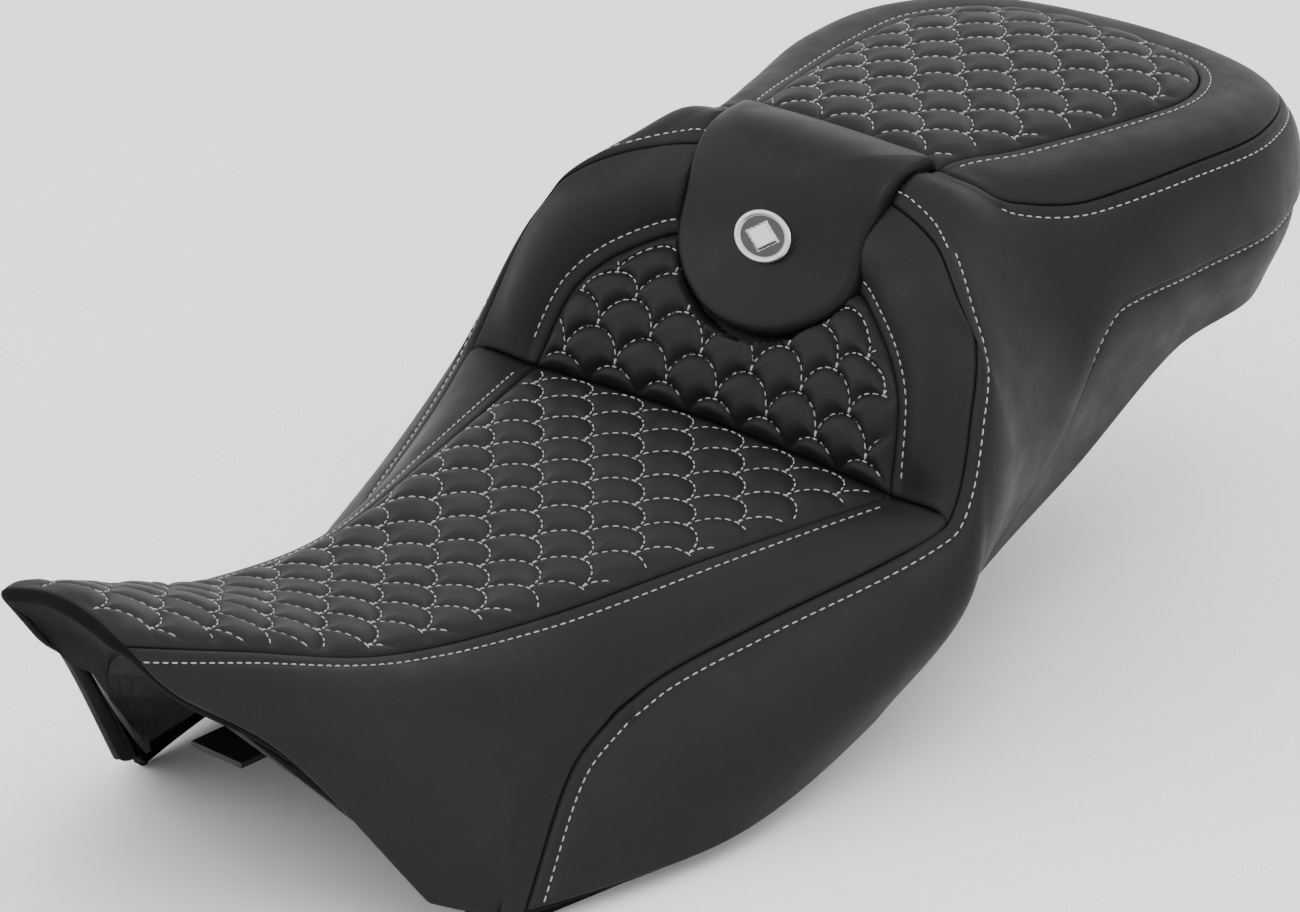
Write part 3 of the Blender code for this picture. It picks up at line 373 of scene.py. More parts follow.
class Cover:
    """Finished face of a sewn panel. At a point with gaps g to its sewn sides, the face stands off the
    surface by swell times the product of (1 - exp(-(g/reach)^2)). It dives into each seam by a quarter
    circle, has a shallow dent along each topstitch, and swells again between the stitched arcs of the
    quilting. A bulge (u, v, radius, height) swells it more around one place."""

    def __init__(self, patch, sides, swell, reach, topstitched=(), quilt=None, bulge=None):
        flat = patch.base.reshape(-1, 3)
        shape = patch.base.shape[:2]
        self.patch = patch
        self.sewn = [name for name, radius in sides.items() if radius > SEWN_RADIUS]
        self.gaps = {name: distance_to(flat, patch.side(name)).reshape(shape) for name in sides}
        sewn = [self.gaps[name] for name in self.sewn]
        gap = np.min(sewn, axis=0)
        if bulge:
            near = np.linalg.norm(patch.base - surface(*np.array([bulge[:2]], float).T), axis=2) / bulge[2]
            swell = swell + bulge[3] * np.exp(-near ** 2)
        rise = swell * np.prod([1 - np.exp(-(side / reach) ** 2) for side in sewn], axis=0)
        for name, radius in sides.items():
            rise = rise + edge_round(self.gaps[name], radius)
        for name, offset in topstitched:
            rise = rise - TOPSTITCH_DENT * np.exp(-((self.gaps[name] - offset) / DENT_WIDTH) ** 2)
        covered = patch.hollow / FLAP_DEPTH
        if quilt:
            width, pitch, shift, puff = quilt
            along = np.repeat(patch.along[:, None], shape[1], axis=1)
            inner = scale_distance(patch.base[..., 0], along - shift, width, pitch)
            share = np.clip(inner / SCALE_REACH, 0, 1)
            pillow = (share * (2 - share)) ** SCALE_FULLNESS
            rise = rise + puff * pillow * (1 - np.exp(-(gap / SCALE_FADE) ** 2)) * (1 - covered)
        rise = rise * (1 - covered) - patch.hollow
        self.rise = rise
        self.face = patch.base + patch.facing * rise[..., None]
        self.back = patch.base - patch.facing * (COVER_DEPTH + patch.hollow * 0.5)[..., None]

    def line(self, side, offset):
        """Points and normals of the finished face on a line at an offset from a side."""
        others = [gap for name, gap in self.gaps.items() if name != side and name in self.sewn]
        others = np.min(others, axis=0) if others else np.full_like(self.rise, 1.0)
        grids = [self.gaps[side], self.patch.hollow, others, self.face, self.patch.facing]
        if side in ("start", "end"):
            grids = [np.swapaxes(grid, 0, 1) for grid in grids]
        if side in ("last", "end"):
            grids = [grid[:, ::-1] for grid in grids]
        gap, hollow, others, face, facing = grids
        row = np.arange(len(gap))
        column = np.clip(np.argmax(gap > offset, axis=1), 1, gap.shape[1] - 1)
        low, high = gap[row, column - 1], gap[row, column]
        share = np.clip((offset - low) / np.maximum(high - low, 1e-9), 0, 1)[:, None]
        points = face[row, column - 1] * (1 - share) + face[row, column] * share
        shown = (abs(gap[row, column] - offset) < 0.004) & (hollow[row, column] < 0.001)
        shown &= others[row, column] > offset * 0.97
        return points[shown], facing[row, column][shown]

    def over(self, u, v):
        """Points and normals of the finished face over (u, v) places: the surface raised as much as the
        nearest point of the grid."""
        base, facing = surface(u, v), normal(u, v)
        flat = self.patch.base.reshape(-1, 1, 3)
        nearest = ((flat - base) ** 2).sum(axis=2).argmin(axis=0)
        return base + facing * self.rise.ravel()[nearest][:, None], facing

    def at(self, x, along):
        """Points and normals of the finished face at pattern places, and whether they are on the panel."""
        rows = self.patch.along
        row = np.interp(along, rows, np.arange(len(rows)))
        low = np.clip(np.floor(row).astype(int), 0, len(rows) - 2)
        across = self.patch.base[..., 0]
        column = np.clip((across[low] < x[:, None]).sum(axis=1), 1, across.shape[1] - 1)
        left, right = across[low, column - 1], across[low, column]
        share = np.clip((x - left) / np.maximum(right - left, 1e-9), 0, 1)[:, None]
        part = (row - low)[:, None]
        mixed = []
        for grid in (self.face, self.patch.facing):
            lower = grid[low, column - 1] * (1 - share) + grid[low, column] * share
            upper = grid[low + 1, column - 1] * (1 - share) + grid[low + 1, column] * share
            mixed.append(lower * (1 - part) + upper * part)
        edge = np.min([gap[low, column] for gap in self.gaps.values()], axis=0)
        inside = (along > rows[0]) & (along < rows[-1]) & (x > across[low, 0]) & (x < across[low, -1])
        return mixed[0], mixed[1], inside & (edge > STITCH_MARGIN) & (self.patch.hollow[low, column] < 0.001)


def grid_quads(rows, columns, flip=False):
    """Quads of a grid whose normal is (along columns) x (along rows)."""
    i, j = np.meshgrid(np.arange(rows - 1), np.arange(columns - 1), indexing="ij")
    k = (i * columns + j).ravel()
    quads = np.stack([k, k + 1, k + columns + 1, k + columns], axis=1)
    return quads[:, ::-1] if flip else quads


def piece_from(name, points, faces, slot, body, nodes=(), sharp=70):
    """Mesh object at the origin from arrays of faces; it rides on a body and replaces CAD nodes."""
    mesh = bpy.data.meshes.new(name)
    mesh.vertices.add(len(points))
    mesh.vertices.foreach_set("co", np.asarray(points, dtype=np.float32).ravel())
    corners = np.concatenate([np.asarray(part, dtype=np.int32).ravel() for part in faces])
    sizes = np.concatenate([np.full(len(part), part.shape[1], dtype=np.int32) for part in faces])
    mesh.loops.add(len(corners))
    mesh.loops.foreach_set("vertex_index", corners)
    mesh.polygons.add(len(sizes))
    mesh.polygons.foreach_set("loop_start", np.concatenate([[0], np.cumsum(sizes)[:-1]]).astype(np.int32))
    mesh.polygons.foreach_set("loop_total", sizes)
    mesh.update(calc_edges=True)
    if mesh.validate():
        raise RuntimeError(f"{name}: the faces aren't valid")
    mesh.shade_smooth()
    mesh.set_sharp_from_angle(angle=math.radians(sharp))
    mesh.materials.append(look(slot))
    piece = bpy.data.objects.new(name, mesh)
    bpy.context.scene.collection.objects.link(piece)
    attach(piece, body)
    if nodes:
        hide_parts(*nodes)
    return piece


def rim_of(rows, columns):
    """Numbers of a grid's outer points, once around."""
    return np.concatenate([np.arange(rows) * columns, (rows - 1) * columns + np.arange(1, columns),
                           np.arange(rows - 2, -1, -1) * columns + columns - 1,
                           np.arange(columns - 2, 0, -1)])


def shell(name, face, back, slot, node, mirrored=False):
    """Closed cover: its finished face, its back and the narrow walls between them."""
    rows, columns = face.shape[:2]
    keep_rows = np.unique(np.concatenate([np.arange(0, rows, 6), [rows - 1]]))
    keep_columns = np.unique(np.concatenate([np.arange(0, columns, 6), [columns - 1]]))
    back = back[keep_rows][:, keep_columns]
    count = rows * columns
    number = count + np.arange(len(keep_rows) * len(keep_columns)).reshape(len(keep_rows), len(keep_columns))
    i = np.searchsorted(keep_rows, np.arange(rows), side="right") - 1
    j = np.searchsorted(keep_columns, np.arange(columns), side="right") - 1
    nearest = number[i][:, j].ravel()
    rim = rim_of(rows, columns)
    after = np.roll(rim, -1)
    low, high = nearest[rim], nearest[after]
    same = low == high
    walls = np.stack([rim, after, high, low], axis=1)
    faces = [grid_quads(rows, columns), grid_quads(*number.shape, True) + count, walls[~same],
             walls[same][:, :3]]
    points = np.concatenate([face.reshape(-1, 3), back.reshape(-1, 3)])
    if mirrored:
        points, faces = points * MIRROR, [part[:, ::-1] for part in faces]
    piece = piece_from(name, points, faces, slot, "seat", (node,))
    return piece


def ring_solid(name, rings, slot, body, nodes=(), sharp=50, flip=False):
    """Closed body from rings around the same middle; the first and the last ring are single points."""
    around = rings.shape[1]
    count = len(rings) - 2
    points = np.concatenate([rings[1:-1].reshape(-1, 3), rings[0, :1], rings[-1, :1]])
    i, j = np.meshgrid(np.arange(count - 1), np.arange(around), indexing="ij")
    k, after = (i * around + j).ravel(), (i * around + (j + 1) % around).ravel()
    quads = np.stack([k, k + around, after + around, after], axis=1)
    ring = np.arange(around)
    top = np.stack([np.full(around, count * around), ring, np.roll(ring, -1)], axis=1)
    final = (count - 1) * around
    bottom = np.stack([np.full(around, count * around + 1), final + np.roll(ring, -1), final + ring], axis=1)
    faces = [quads, top, bottom]
    if flip:
        faces = [part[:, ::-1] for part in faces]
    return piece_from(name, points, faces, slot, body, nodes, sharp)


def stitches(name, starts, ends, facing, thick):
    """Short threads from starts to ends: six-sided capsules that bend into the cover at both ends. They sink
    by 0.55 thicknesses times the fourth power of the share of the way from the middle."""
    along = ends - starts
    length = np.linalg.norm(along, axis=1, keepdims=True)
    along = along / np.maximum(length, 1e-9)
    side = np.cross(facing, along)
    side /= np.maximum(np.linalg.norm(side, axis=1, keepdims=True), 1e-9)
    up = np.cross(along, side)
    place = np.array([-0.5, -0.44, -0.25, 0.25, 0.44, 0.5])
    width = np.array([0.0, 0.62, 1.0, 1.0, 0.62, 0.0]) * thick / 2
    turn = np.arange(6) * math.pi / 3
    ring = np.stack([np.repeat(place[1:5], 6), np.outer(width[1:5], np.cos(turn)).ravel(),
                     np.outer(width[1:5], np.sin(turn)).ravel()], axis=1)
    form = np.concatenate([ring, [[-0.5, 0, 0], [0.5, 0, 0]]])
    sink = (form[:, 0] * 2) ** 4 * thick * 0.55
    middle = (starts + ends) / 2 + up * thick * 0.30
    points = (middle[:, None] + along[:, None] * form[None, :, 0, None] * length[:, None]
              + side[:, None] * form[None, :, 1, None] + up[:, None] * (form[:, 2] - sink)[None, :, None])
    i, j = np.meshgrid(np.arange(3), np.arange(6), indexing="ij")
    k, after = (i * 6 + j).ravel(), (i * 6 + (j + 1) % 6).ravel()
    quads = np.stack([k, k + 6, after + 6, after], axis=1)[:, ::-1]
    six = np.arange(6)
    tips = np.concatenate([np.stack([np.full(6, 24), six, np.roll(six, -1)], axis=1)[:, ::-1],
                           np.stack([np.full(6, 25), 18 + np.roll(six, -1), 18 + six], axis=1)[:, ::-1]])
    shift = np.arange(len(starts))[:, None, None] * len(form)
    faces = [(quads[None] + shift).reshape(-1, 4), (tips[None] + shift).reshape(-1, 3)]
    return piece_from(name, points.reshape(-1, 3), faces, "thread", "seat", sharp=80)


def along_line(points, facing, pitch, length):
    """Starts, ends and normals of stitches laid at a pitch along a line of points."""
    reach = reach_of(points)
    count = int((reach[-1] - length) / pitch)
    first = (np.arange(count) + 0.5) * pitch
    jump = np.linalg.norm(np.diff(points, axis=0), axis=1)
    middle = np.searchsorted(reach, first + length / 2) - 1
    fit = jump[np.clip(middle, 0, len(jump) - 1)] < 0.012
    first = first[fit]
    mixed = [np.stack([np.interp(first + more, reach, points[:, k]) for k in range(3)], axis=1)
             for more in (0, length)]
    up = np.stack([np.interp(first, reach, facing[:, k]) for k in range(3)], axis=1)
    return mixed[0], mixed[1], up


def nodes_for(name):
    """A new node material, its principled shader and its object coordinates."""
    material = bpy.data.materials.new(name)
    material.use_nodes = True
    tree = material.node_tree
    place = tree.nodes.new("ShaderNodeTexCoord").outputs["Object"]
    return material, tree, tree.nodes["Principled BSDF"], place


def noise(tree, place, scale, detail=2.0):
    """Noise around 0.5 at a number of waves per metre."""
    node = tree.nodes.new("ShaderNodeTexNoise")
    node.inputs["Scale"].default_value = scale
    node.inputs["Detail"].default_value = detail
    tree.links.new(place, node.inputs["Vector"])
    return node.outputs["Fac"]


def ranged(tree, value, low, high):
    """A noise value spread over a range."""
    node = tree.nodes.new("ShaderNodeMapRange")
    for name, number in (("From Min", 0.3), ("From Max", 0.7), ("To Min", low), ("To Max", high)):
        node.inputs[name].default_value = number
    tree.links.new(value, node.inputs["Value"])
    return node.outputs["Result"]


def mixed(tree, value, first, second):
    """A colour between two by a value from 0 to 1."""
    node = tree.nodes.new("ShaderNodeMix")
    node.data_type = "RGBA"
    node.inputs["A"].default_value = (*first, 1.0)
    node.inputs["B"].default_value = (*second, 1.0)
    tree.links.new(value, node.inputs["Factor"])
    return node.outputs["Result"]


def bumped(tree, shader, height, depth):
    """Fine relief of a height times a depth in metres."""
    node = tree.nodes.new("ShaderNodeBump")
    node.inputs["Distance"].default_value = depth
    tree.links.new(height, node.inputs["Height"])
    tree.links.new(node.outputs["Normal"], shader.inputs["Normal"])


def finish_of(name, tone, spread=0.15, rough=(0.4, 0.5), metallic=0.0, blotch=18.0, grain=0.0, depth=0.0,
              cells=False, sheen=0.0, specular=0.5, stretch=(1, 1, 1)):
    """Procedural finish: a tone and a roughness that drift in broad patches, and a fine grain of noise or of
    small cells as bump."""
    material, tree, shader, place = nodes_for(name)
    soft = noise(tree, place, blotch)
    tone = np.array(tone, float)
    factor = ranged(tree, soft, 0.0, 1.0)
    colour = mixed(tree, factor, tuple(tone * (1 - spread)), tuple(np.minimum(tone * (1 + spread), 1)))
    tree.links.new(colour, shader.inputs["Base Color"])
    tree.links.new(ranged(tree, noise(tree, place, blotch * 3.1), *rough), shader.inputs["Roughness"])
    shader.inputs["Metallic"].default_value = metallic
    shader.inputs["Specular IOR Level"].default_value = specular
    shader.inputs["Sheen Weight"].default_value = sheen
    shader.inputs["Sheen Roughness"].default_value = 0.4
    if grain:
        if stretch != (1, 1, 1):
            turned = tree.nodes.new("ShaderNodeMapping")
            turned.inputs["Scale"].default_value = stretch
            tree.links.new(place, turned.inputs["Vector"])
            place = turned.outputs["Vector"]
        if cells:
            node = tree.nodes.new("ShaderNodeTexVoronoi")
            node.inputs["Scale"].default_value = grain
            tree.links.new(place, node.inputs["Vector"])
            height = node.outputs["Distance"]
        else:
            height = noise(tree, place, grain)
        bumped(tree, shader, height, depth)
    return material


def look(name):
    """Material of a slot, made when it is first asked for."""
    if name in bpy.data.materials and bpy.data.materials[name].get("seat_look"):
        return bpy.data.materials[name]
    if name in bpy.data.materials:
        bpy.data.materials[name].name = name + "_plain"
    settings = bpy.context.scene.seat_look
    vinyl = tuple(settings.vinyl_colour)
    thread = tuple(settings.thread_colour)
    flap = tuple(np.array(vinyl) * 0.85)
    hide = dict(spread=0.07, grain=1.0 / settings.grain_size, depth=0.00006, cells=True, specular=0.13)
    recipes = {
        "vinyl": dict(hide, tone=vinyl, rough=(0.48, 0.58)),
        "quilted_vinyl": dict(hide, tone=vinyl, rough=(0.48, 0.58)),
        "flap_vinyl": dict(hide, tone=flap, rough=(0.40, 0.48)),
        # The turned-under edge's near-black, low-specular tone is painted shade. It is darker than the vinyl
        # it is made of, so that the edge under the seat reads as shadow.
        "binding": dict(hide, tone=(0.004, 0.004, 0.0041), spread=0.1, rough=(0.8, 0.9), depth=0.00004,
                        specular=0.08),
        "lining": dict(tone=(0.02, 0.02, 0.021), spread=0.2, rough=(0.75, 0.85), grain=900, depth=0.0001,
                       sheen=0.15, specular=0.3),
        "thread": dict(tone=thread, spread=0.12, rough=(0.55, 0.7), blotch=90, grain=2600, depth=0.0001,
                       specular=0.3),
        "badge": dict(tone=(0.48, 0.50, 0.51), spread=0.05, rough=(0.25, 0.35), metallic=1.0, grain=1500,
                      depth=0.00001),
        "enamel": dict(tone=(0.012, 0.012, 0.013), spread=0.1, rough=(0.2, 0.3), blotch=60),
        "zinc_steel": dict(tone=(0.55, 0.56, 0.58), rough=(0.3, 0.45), metallic=1.0, grain=700,
                           depth=0.00003),
        "black_steel": dict(tone=(0.012, 0.012, 0.013), rough=(0.45, 0.6), metallic=0.2, grain=900,
                            depth=0.00005, specular=0.25),
        # Black moulded plastic, partly its own colour and partly painted shade: the tone is darkened below
        # plain black plastic so that the pan under the seat reads as shadow.
        "moulded_plastic": dict(tone=(0.012, 0.012, 0.0125), rough=(0.55, 0.67), grain=1100, depth=0.00006,
                                cells=True, specular=0.2),
        "rubber": dict(tone=(0.018, 0.018, 0.019), rough=(0.7, 0.85), grain=1500, depth=0.00006,
                       specular=0.3),
        "closure_tape": dict(tone=(0.02, 0.02, 0.02), rough=(0.85, 0.95), grain=900, depth=0.0005, sheen=0.3,
                             specular=0.2),
        "foam": dict(tone=(0.030, 0.030, 0.032), rough=(0.85, 0.95), grain=700, depth=0.0004, cells=True,
                     specular=0.2),
        "gel": dict(tone=(0.10, 0.28, 0.42), rough=(0.3, 0.4), grain=120, depth=0.0002),
    }
    if name not in recipes:
        raise RuntimeError(f"there is no finish for {name}")
    material = finish_of(name, **recipes[name])
    material["seat_look"] = True
    return material


def pair_of_covers(label, node, patch, slot, **form):
    """Left and right cover of the same form; each replaces its own CAD panel. Returns the left one."""
    cover = Cover(patch, **form)
    for side, mirrored in (("left", False), ("right", True)):
        shell(f"{label}_{side}", cover.face, cover.back, slot, f"{node}_{side}", mirrored)
    return cover


def seam_stitches(name, lines, settings, mirrored=True):
    """Topstitch along lines of points and normals, and along their mirror images."""
    parts = []
    for points, facing in lines:
        parts.append(along_line(points, facing, settings.stitch_pitch, settings.stitch_length))
        if mirrored:
            parts.append(along_line(points * MIRROR, facing * MIRROR, settings.stitch_pitch,
                                    settings.stitch_length))
    starts, ends, facing = (np.concatenate([part[k] for part in parts]) for k in range(3))
    return stitches(name, starts, ends, facing, settings.thread_thickness)


def scale_stitches(name, cover, quilt, settings):
    """Stitches along every arc of the quilting: each arc is walked at the stitch pitch in pattern
    coordinates, and each stitch end is looked up on the finished cover."""
    width, pitch, shift = quilt[:3]
    rows = cover.patch.along
    across = abs(cover.patch.base[..., 0]).max()
    first, last = math.floor((rows[0] - shift) / pitch) - 1, math.ceil((rows[-1] - shift) / pitch)
    widest = math.ceil(across / width) + 1
    row, place = (grid.ravel() for grid in np.meshgrid(np.arange(first, last + 1),
                                                       np.arange(-widest, widest + 1), indexing="ij"))
    middle = place * width + np.where(row % 2 == 0, 0.0, width / 2)
    turn = np.linspace(0, math.pi, 241)
    arc = np.stack([np.cos(turn) * width / 2, np.sin(turn) * pitch], axis=1)
    reach = reach_of(arc)
    count = max(3, round(reach[-1] / settings.stitch_pitch))
    spot = (np.arange(count) + 0.5) * reach[-1] / count
    half = settings.stitch_length / 2
    found = []
    for more in (-half, half):
        x = middle[:, None] + np.interp(spot + more, reach, arc[:, 0])[None]
        y = row[:, None] * pitch + shift + np.interp(spot + more, reach, arc[:, 1])[None]
        found.append(cover.at(x.ravel(), y.ravel()))
    shown = found[0][2] & found[1][2]
    return stitches(name, found[0][0][shown], found[1][0][shown], found[0][1][shown],
                    settings.thread_thickness)


def pillion_patch(cell):
    """Top of the passenger pad: rows of equal y between the quilt seam's two sides, crowned across."""
    fine = surface(np.linspace(PILLION, TAIL, 800), np.full(800, QUILT))
    reach = reach_of(fine)
    share = crowded(int(reach[-1] / cell) + 2) * reach[-1]
    edge = np.stack([np.interp(share, reach, fine[:, k]) for k in range(3)], axis=1)
    width, y, z = np.maximum(edge[:, 0], 0.0006)[:, None], edge[:, 1][:, None], edge[:, 2][:, None]
    across = crowded(int(2 * width.max() / cell) + 2)[None] * 2 - 1
    crown = 1 - across ** 2
    front = 0.002 * np.clip(1 - (y - y.min()) / 0.03, 0, 1)
    base = np.stack([width * across, y - front * crown, z + 0.0085 * (width / 0.097) ** 2 * crown], axis=2)
    facing = unit(np.cross(np.gradient(base, axis=1), np.gradient(base, axis=0)))
    facing[-8:] = facing[-9:-8, across.shape[1] // 2][:, None]
    return Patch(base, facing, np.zeros(base.shape[:2]), edge[:, 1])


def tongue_outline(count):
    """Outline of the flap as (u, v) places, its corners eased by repeated averaging of neighbours."""
    side = np.linspace(0, 1, count) ** 0.8
    u = FLAP_TIP + (FLAP_TOP - FLAP_TIP) * (1 - np.cos(side * math.pi)) / 2
    half = tongue_half(u, FLAP_TIP, 0.0)
    v = QUILT * np.minimum(half / abs(surface(u, np.full_like(u, QUILT))[:, 0]), 1.06)
    top = np.linspace(1, -1, count // 2)[1:-1]
    places = np.concatenate([np.stack([u, v], 1), np.stack([np.full_like(top, FLAP_TOP), v[-1] * top], 1),
                             np.stack([u[:0:-1], -v[:0:-1]], 1)])
    return eased(places, 6)


def tongue_rings(profile):
    """Rings around the flap's middle. A ring is a share of the way to the outline, at a height that may
    depend on the distance left to the outline."""
    outline = tongue_outline(96)
    centre = np.array([(FLAP_TIP + FLAP_TOP) / 2 + 0.1, 0.0])
    radius = np.linalg.norm(surface(*outline.T) - surface(np.array([centre[0]]), np.zeros(1)), axis=1)
    rings = []
    for share, height in profile:
        places = centre + (outline - centre) * max(share, 1e-4)
        gap = (1 - share) * radius
        rise = height(share, gap) if callable(height) else np.full(len(gap), height)
        rings.append(surface(*places.T) + rise[:, None] * normal(*places.T))
    return np.array(rings)


def flap_face(share, gap):
    """Height of the flap's cover: a crown that falls with the share to the power 2.4, and a rolled edge."""
    return FLAP_EDGE + (FLAP_CROWN - FLAP_EDGE) * (1 - share ** 2.4) + edge_round(gap, FLAP_ROLL)


FLAP_SHARES = np.concatenate([np.linspace(0, 0.88, 26),
                              [0.90, 0.92, 0.94, 0.955, 0.968, 0.978, 0.986, 0.992, 0.997, 1.0]])


def length(name, description, default):
    """A length property in metres."""
    return bpy.props.FloatProperty(name=name, description=description, default=default, unit="LENGTH")


def colour(name, description, default):
    """A colour property."""
    return bpy.props.FloatVectorProperty(name=name, description=description, default=default,
                                         subtype="COLOR")


class SeatLook(bpy.types.PropertyGroup):
    """Sizes and colours of the finish."""

    cell: length("Grid cell", "Spacing of the quilted covers' grids", 0.0015)
    plain_cell: length("Plain cell", "Spacing of the plain covers' grids", 0.0025)
    scale_width: length("Scale width", "Width of one quilted scale", 0.036)
    scale_pitch: length("Scale pitch", "Distance between rows of scales", 0.0195)
    seat_puff: length("Seat puff", "Swelling of a scale on the seat", 0.0026)
    back_puff: length("Back puff", "Swelling of a scale on the backrest", 0.0060)
    seam_radius: length("Seam radius", "Roundness of a sewn edge", 0.0028)
    topstitch_offset: length("Topstitch offset", "Distance from a seam to its topstitch", 0.0075)
    stitch_length: length("Stitch length", "Length of one stitch", 0.0038)
    stitch_pitch: length("Stitch pitch", "Distance between the starts of two stitches", 0.0055)
    thread_thickness: length("Thread thickness", "Thickness of the thread", 0.0009)
    grain_size: length("Grain", "Size of the vinyl's grain", 0.0009)
    vinyl_colour: colour("Vinyl", "Colour of the covers", (0.0100, 0.0100, 0.0103))
    thread_colour: colour("Thread", "Colour of the stitching", (0.30, 0.30, 0.30))


class RiderQuilt(bpy.types.Operator):
    """Quilted panel of the rider's seat, with its stitched scales"""

    bl_idname = "seat.rider_quilt"
    bl_label = "Rider quilt"

    def execute(self, context):
        look_of = context.scene.seat_look
        rows = [(u, 2) for u in np.linspace(0, 5, 20)]
        patch = Patch.ruled([(u, -v) for u, v in rows], rows, look_of.cell, along=True)
        radius = look_of.seam_radius
        quilt = (look_of.scale_width, look_of.scale_pitch, -0.003, look_of.seat_puff)
        cover = Cover(patch, dict.fromkeys(SIDES, radius), 0.0022, 0.012,
                      quilt=quilt)
        shell("rider_quilt", cover.face, cover.back, "quilted_vinyl", "rider_quilt_panel")
        scale_stitches("rider_quilt_stitches", cover, quilt, look_of)
        return {"FINISHED"}


class BackrestQuilt(bpy.types.Operator):
    """Quilted panel of the backrest, with deep scales"""

    bl_idname = "seat.backrest_quilt"
    bl_label = "Backrest quilt"

    def execute(self, context):
        look_of = context.scene.seat_look
        rows = ROLL_INNER[:8]
        patch = Patch.ruled([(u, -v) for u, v in rows], rows, look_of.cell * 0.9, along=True)
        radius = look_of.seam_radius
        quilt = (look_of.scale_width, look_of.scale_pitch, -0.0072, look_of.back_puff)
        cover = Cover(patch, dict.fromkeys(SIDES, radius), 0.0024, 0.012,
                      quilt=quilt)
        shell("backrest_quilt", cover.face, cover.back, "quilted_vinyl", "backrest_quilt_panel")
        scale_stitches("backrest_quilt_stitches", cover, quilt, look_of)
        return {"FINISHED"}


class BackrestRoll(bpy.types.Operator):
    """Padded roll round the backrest, topstitched along its inner seam"""

    bl_idname = "seat.backrest_roll"
    bl_label = "Backrest roll"

    def execute(self, context):
        look_of = context.scene.seat_look
        lines = [list(line) + [(u, -v) for u, v in reversed(line[:-1])] for line in (ROLL_INNER, ROLL_OUTER)]
        patch = Patch.ruled(*lines, look_of.plain_cell * 0.8)
        radius = look_of.seam_radius
        offset = look_of.topstitch_offset
        cover = Cover(patch, dict.fromkeys(SIDES, radius), 0.0095, 0.016, [("first", offset)])
        shell("roll", cover.face, cover.back, "vinyl", "backrest_roll")
        seam_stitches("roll_stitches", [cover.line("first", offset)], look_of, mirrored=False)
        return {"FINISHED"}


class PassengerQuilt(bpy.types.Operator):
    """Quilted top of the passenger pad"""

    bl_idname = "seat.passenger_quilt"
    bl_label = "Passenger quilt"

    def execute(self, context):
        look_of = context.scene.seat_look
        patch = pillion_patch(look_of.cell)
        radius = look_of.seam_radius
        quilt = (look_of.scale_width, look_of.scale_pitch, 0.112, look_of.seat_puff)
        cover = Cover(patch, {"first": radius, "last": radius, "start": radius}, 0.0020, 0.012, quilt=quilt)
        shell("passenger_quilt", cover.face, cover.back, "quilted_vinyl", "passenger_quilt_panel")
        scale_stitches("passenger_quilt_stitches", cover, quilt, look_of)
        return {"FINISHED"}


class PassengerBorder(bpy.types.Operator):
    """Plain border round the passenger quilt"""

    bl_idname = "seat.passenger_border"
    bl_label = "Passenger border"

    def execute(self, context):
        look_of = context.scene.seat_look
        patch = Patch.ruled(BORDER_INNER, BORDER_FRONT[4:] + BORDER_OUTER, look_of.plain_cell)
        patch = patch.with_mirror_image()
        radius = look_of.seam_radius
        offset = look_of.topstitch_offset * 0.8
        cover = Cover(patch, dict.fromkeys(SIDES, radius), 0.0030, 0.013,
                      [("first", offset)])
        shell("border", cover.face, cover.back, "vinyl", "passenger_border")
        seam_stitches("border_stitches", [cover.line("first", offset)], look_of, mirrored=False)
        return {"FINISHED"}


class RiderSides(bpy.types.Operator):
    """Side panels of the rider's seat"""

    bl_idname = "seat.rider_sides"
    bl_label = "Rider side panels"

    def execute(self, context):
        look_of = context.scene.seat_look
        side_rows = CREASE_END + SIDE_SEAM[::-1]
        front_rows = [(0, v) for v in np.linspace(2, 5, len(side_rows))]
        patch = Patch.ruled(front_rows[::-1], side_rows[::-1], look_of.plain_cell)
        radius = look_of.seam_radius
        cover = pair_of_covers("rider_side", "rider_side_panel", patch, "vinyl",
                               sides={"end": radius, "last": radius, "start": OPEN_EDGE, "first": OPEN_EDGE},
                               swell=0.0024, reach=0.016, topstitched=[("end", look_of.topstitch_offset)])
        seam_stitches("rider_side_stitches", [cover.line("end", look_of.topstitch_offset)], look_of)
        return {"FINISHED"}


class WrapPanels(bpy.types.Operator):
    """Long side panels from the rider's flank round the roll to the tail"""

    bl_idname = "seat.wrap_panels"
    bl_label = "Wrap panels"

    def execute(self, context):
        look_of = context.scene.seat_look
        patch = Patch.ruled(WRAP_TOP, WRAP_BOTTOM, look_of.plain_cell)
        radius = look_of.seam_radius
        cover = pair_of_covers("wrap", "wrap_panel", patch, "vinyl",
                               sides={"first": radius, "start": radius, "end": TAIL_EDGE, "last": OPEN_EDGE},
                               swell=0.0024, reach=0.014, bulge=(8.6, 2.3, 0.030, 0.0055),
                               topstitched=[("first", look_of.topstitch_offset),
                                            ("start", look_of.topstitch_offset)])
        points, facing = cover.line("first", look_of.topstitch_offset)
        valley = (points[:, 1] > 0.088) & (points[:, 1] < 0.2) & (points[:, 0] < 0.104)
        neck = np.linspace(0, 1, 30)
        lines = [(points[~valley], facing[~valley]), cover.line("start", look_of.topstitch_offset),
                 cover.over(np.interp(neck, [0, 0.7, 1], [8.21, 8.2, 8.1]), 1.42 + 1.1 * neck)]
        seam_stitches("wrap_stitches", lines, look_of)
        return {"FINISHED"}


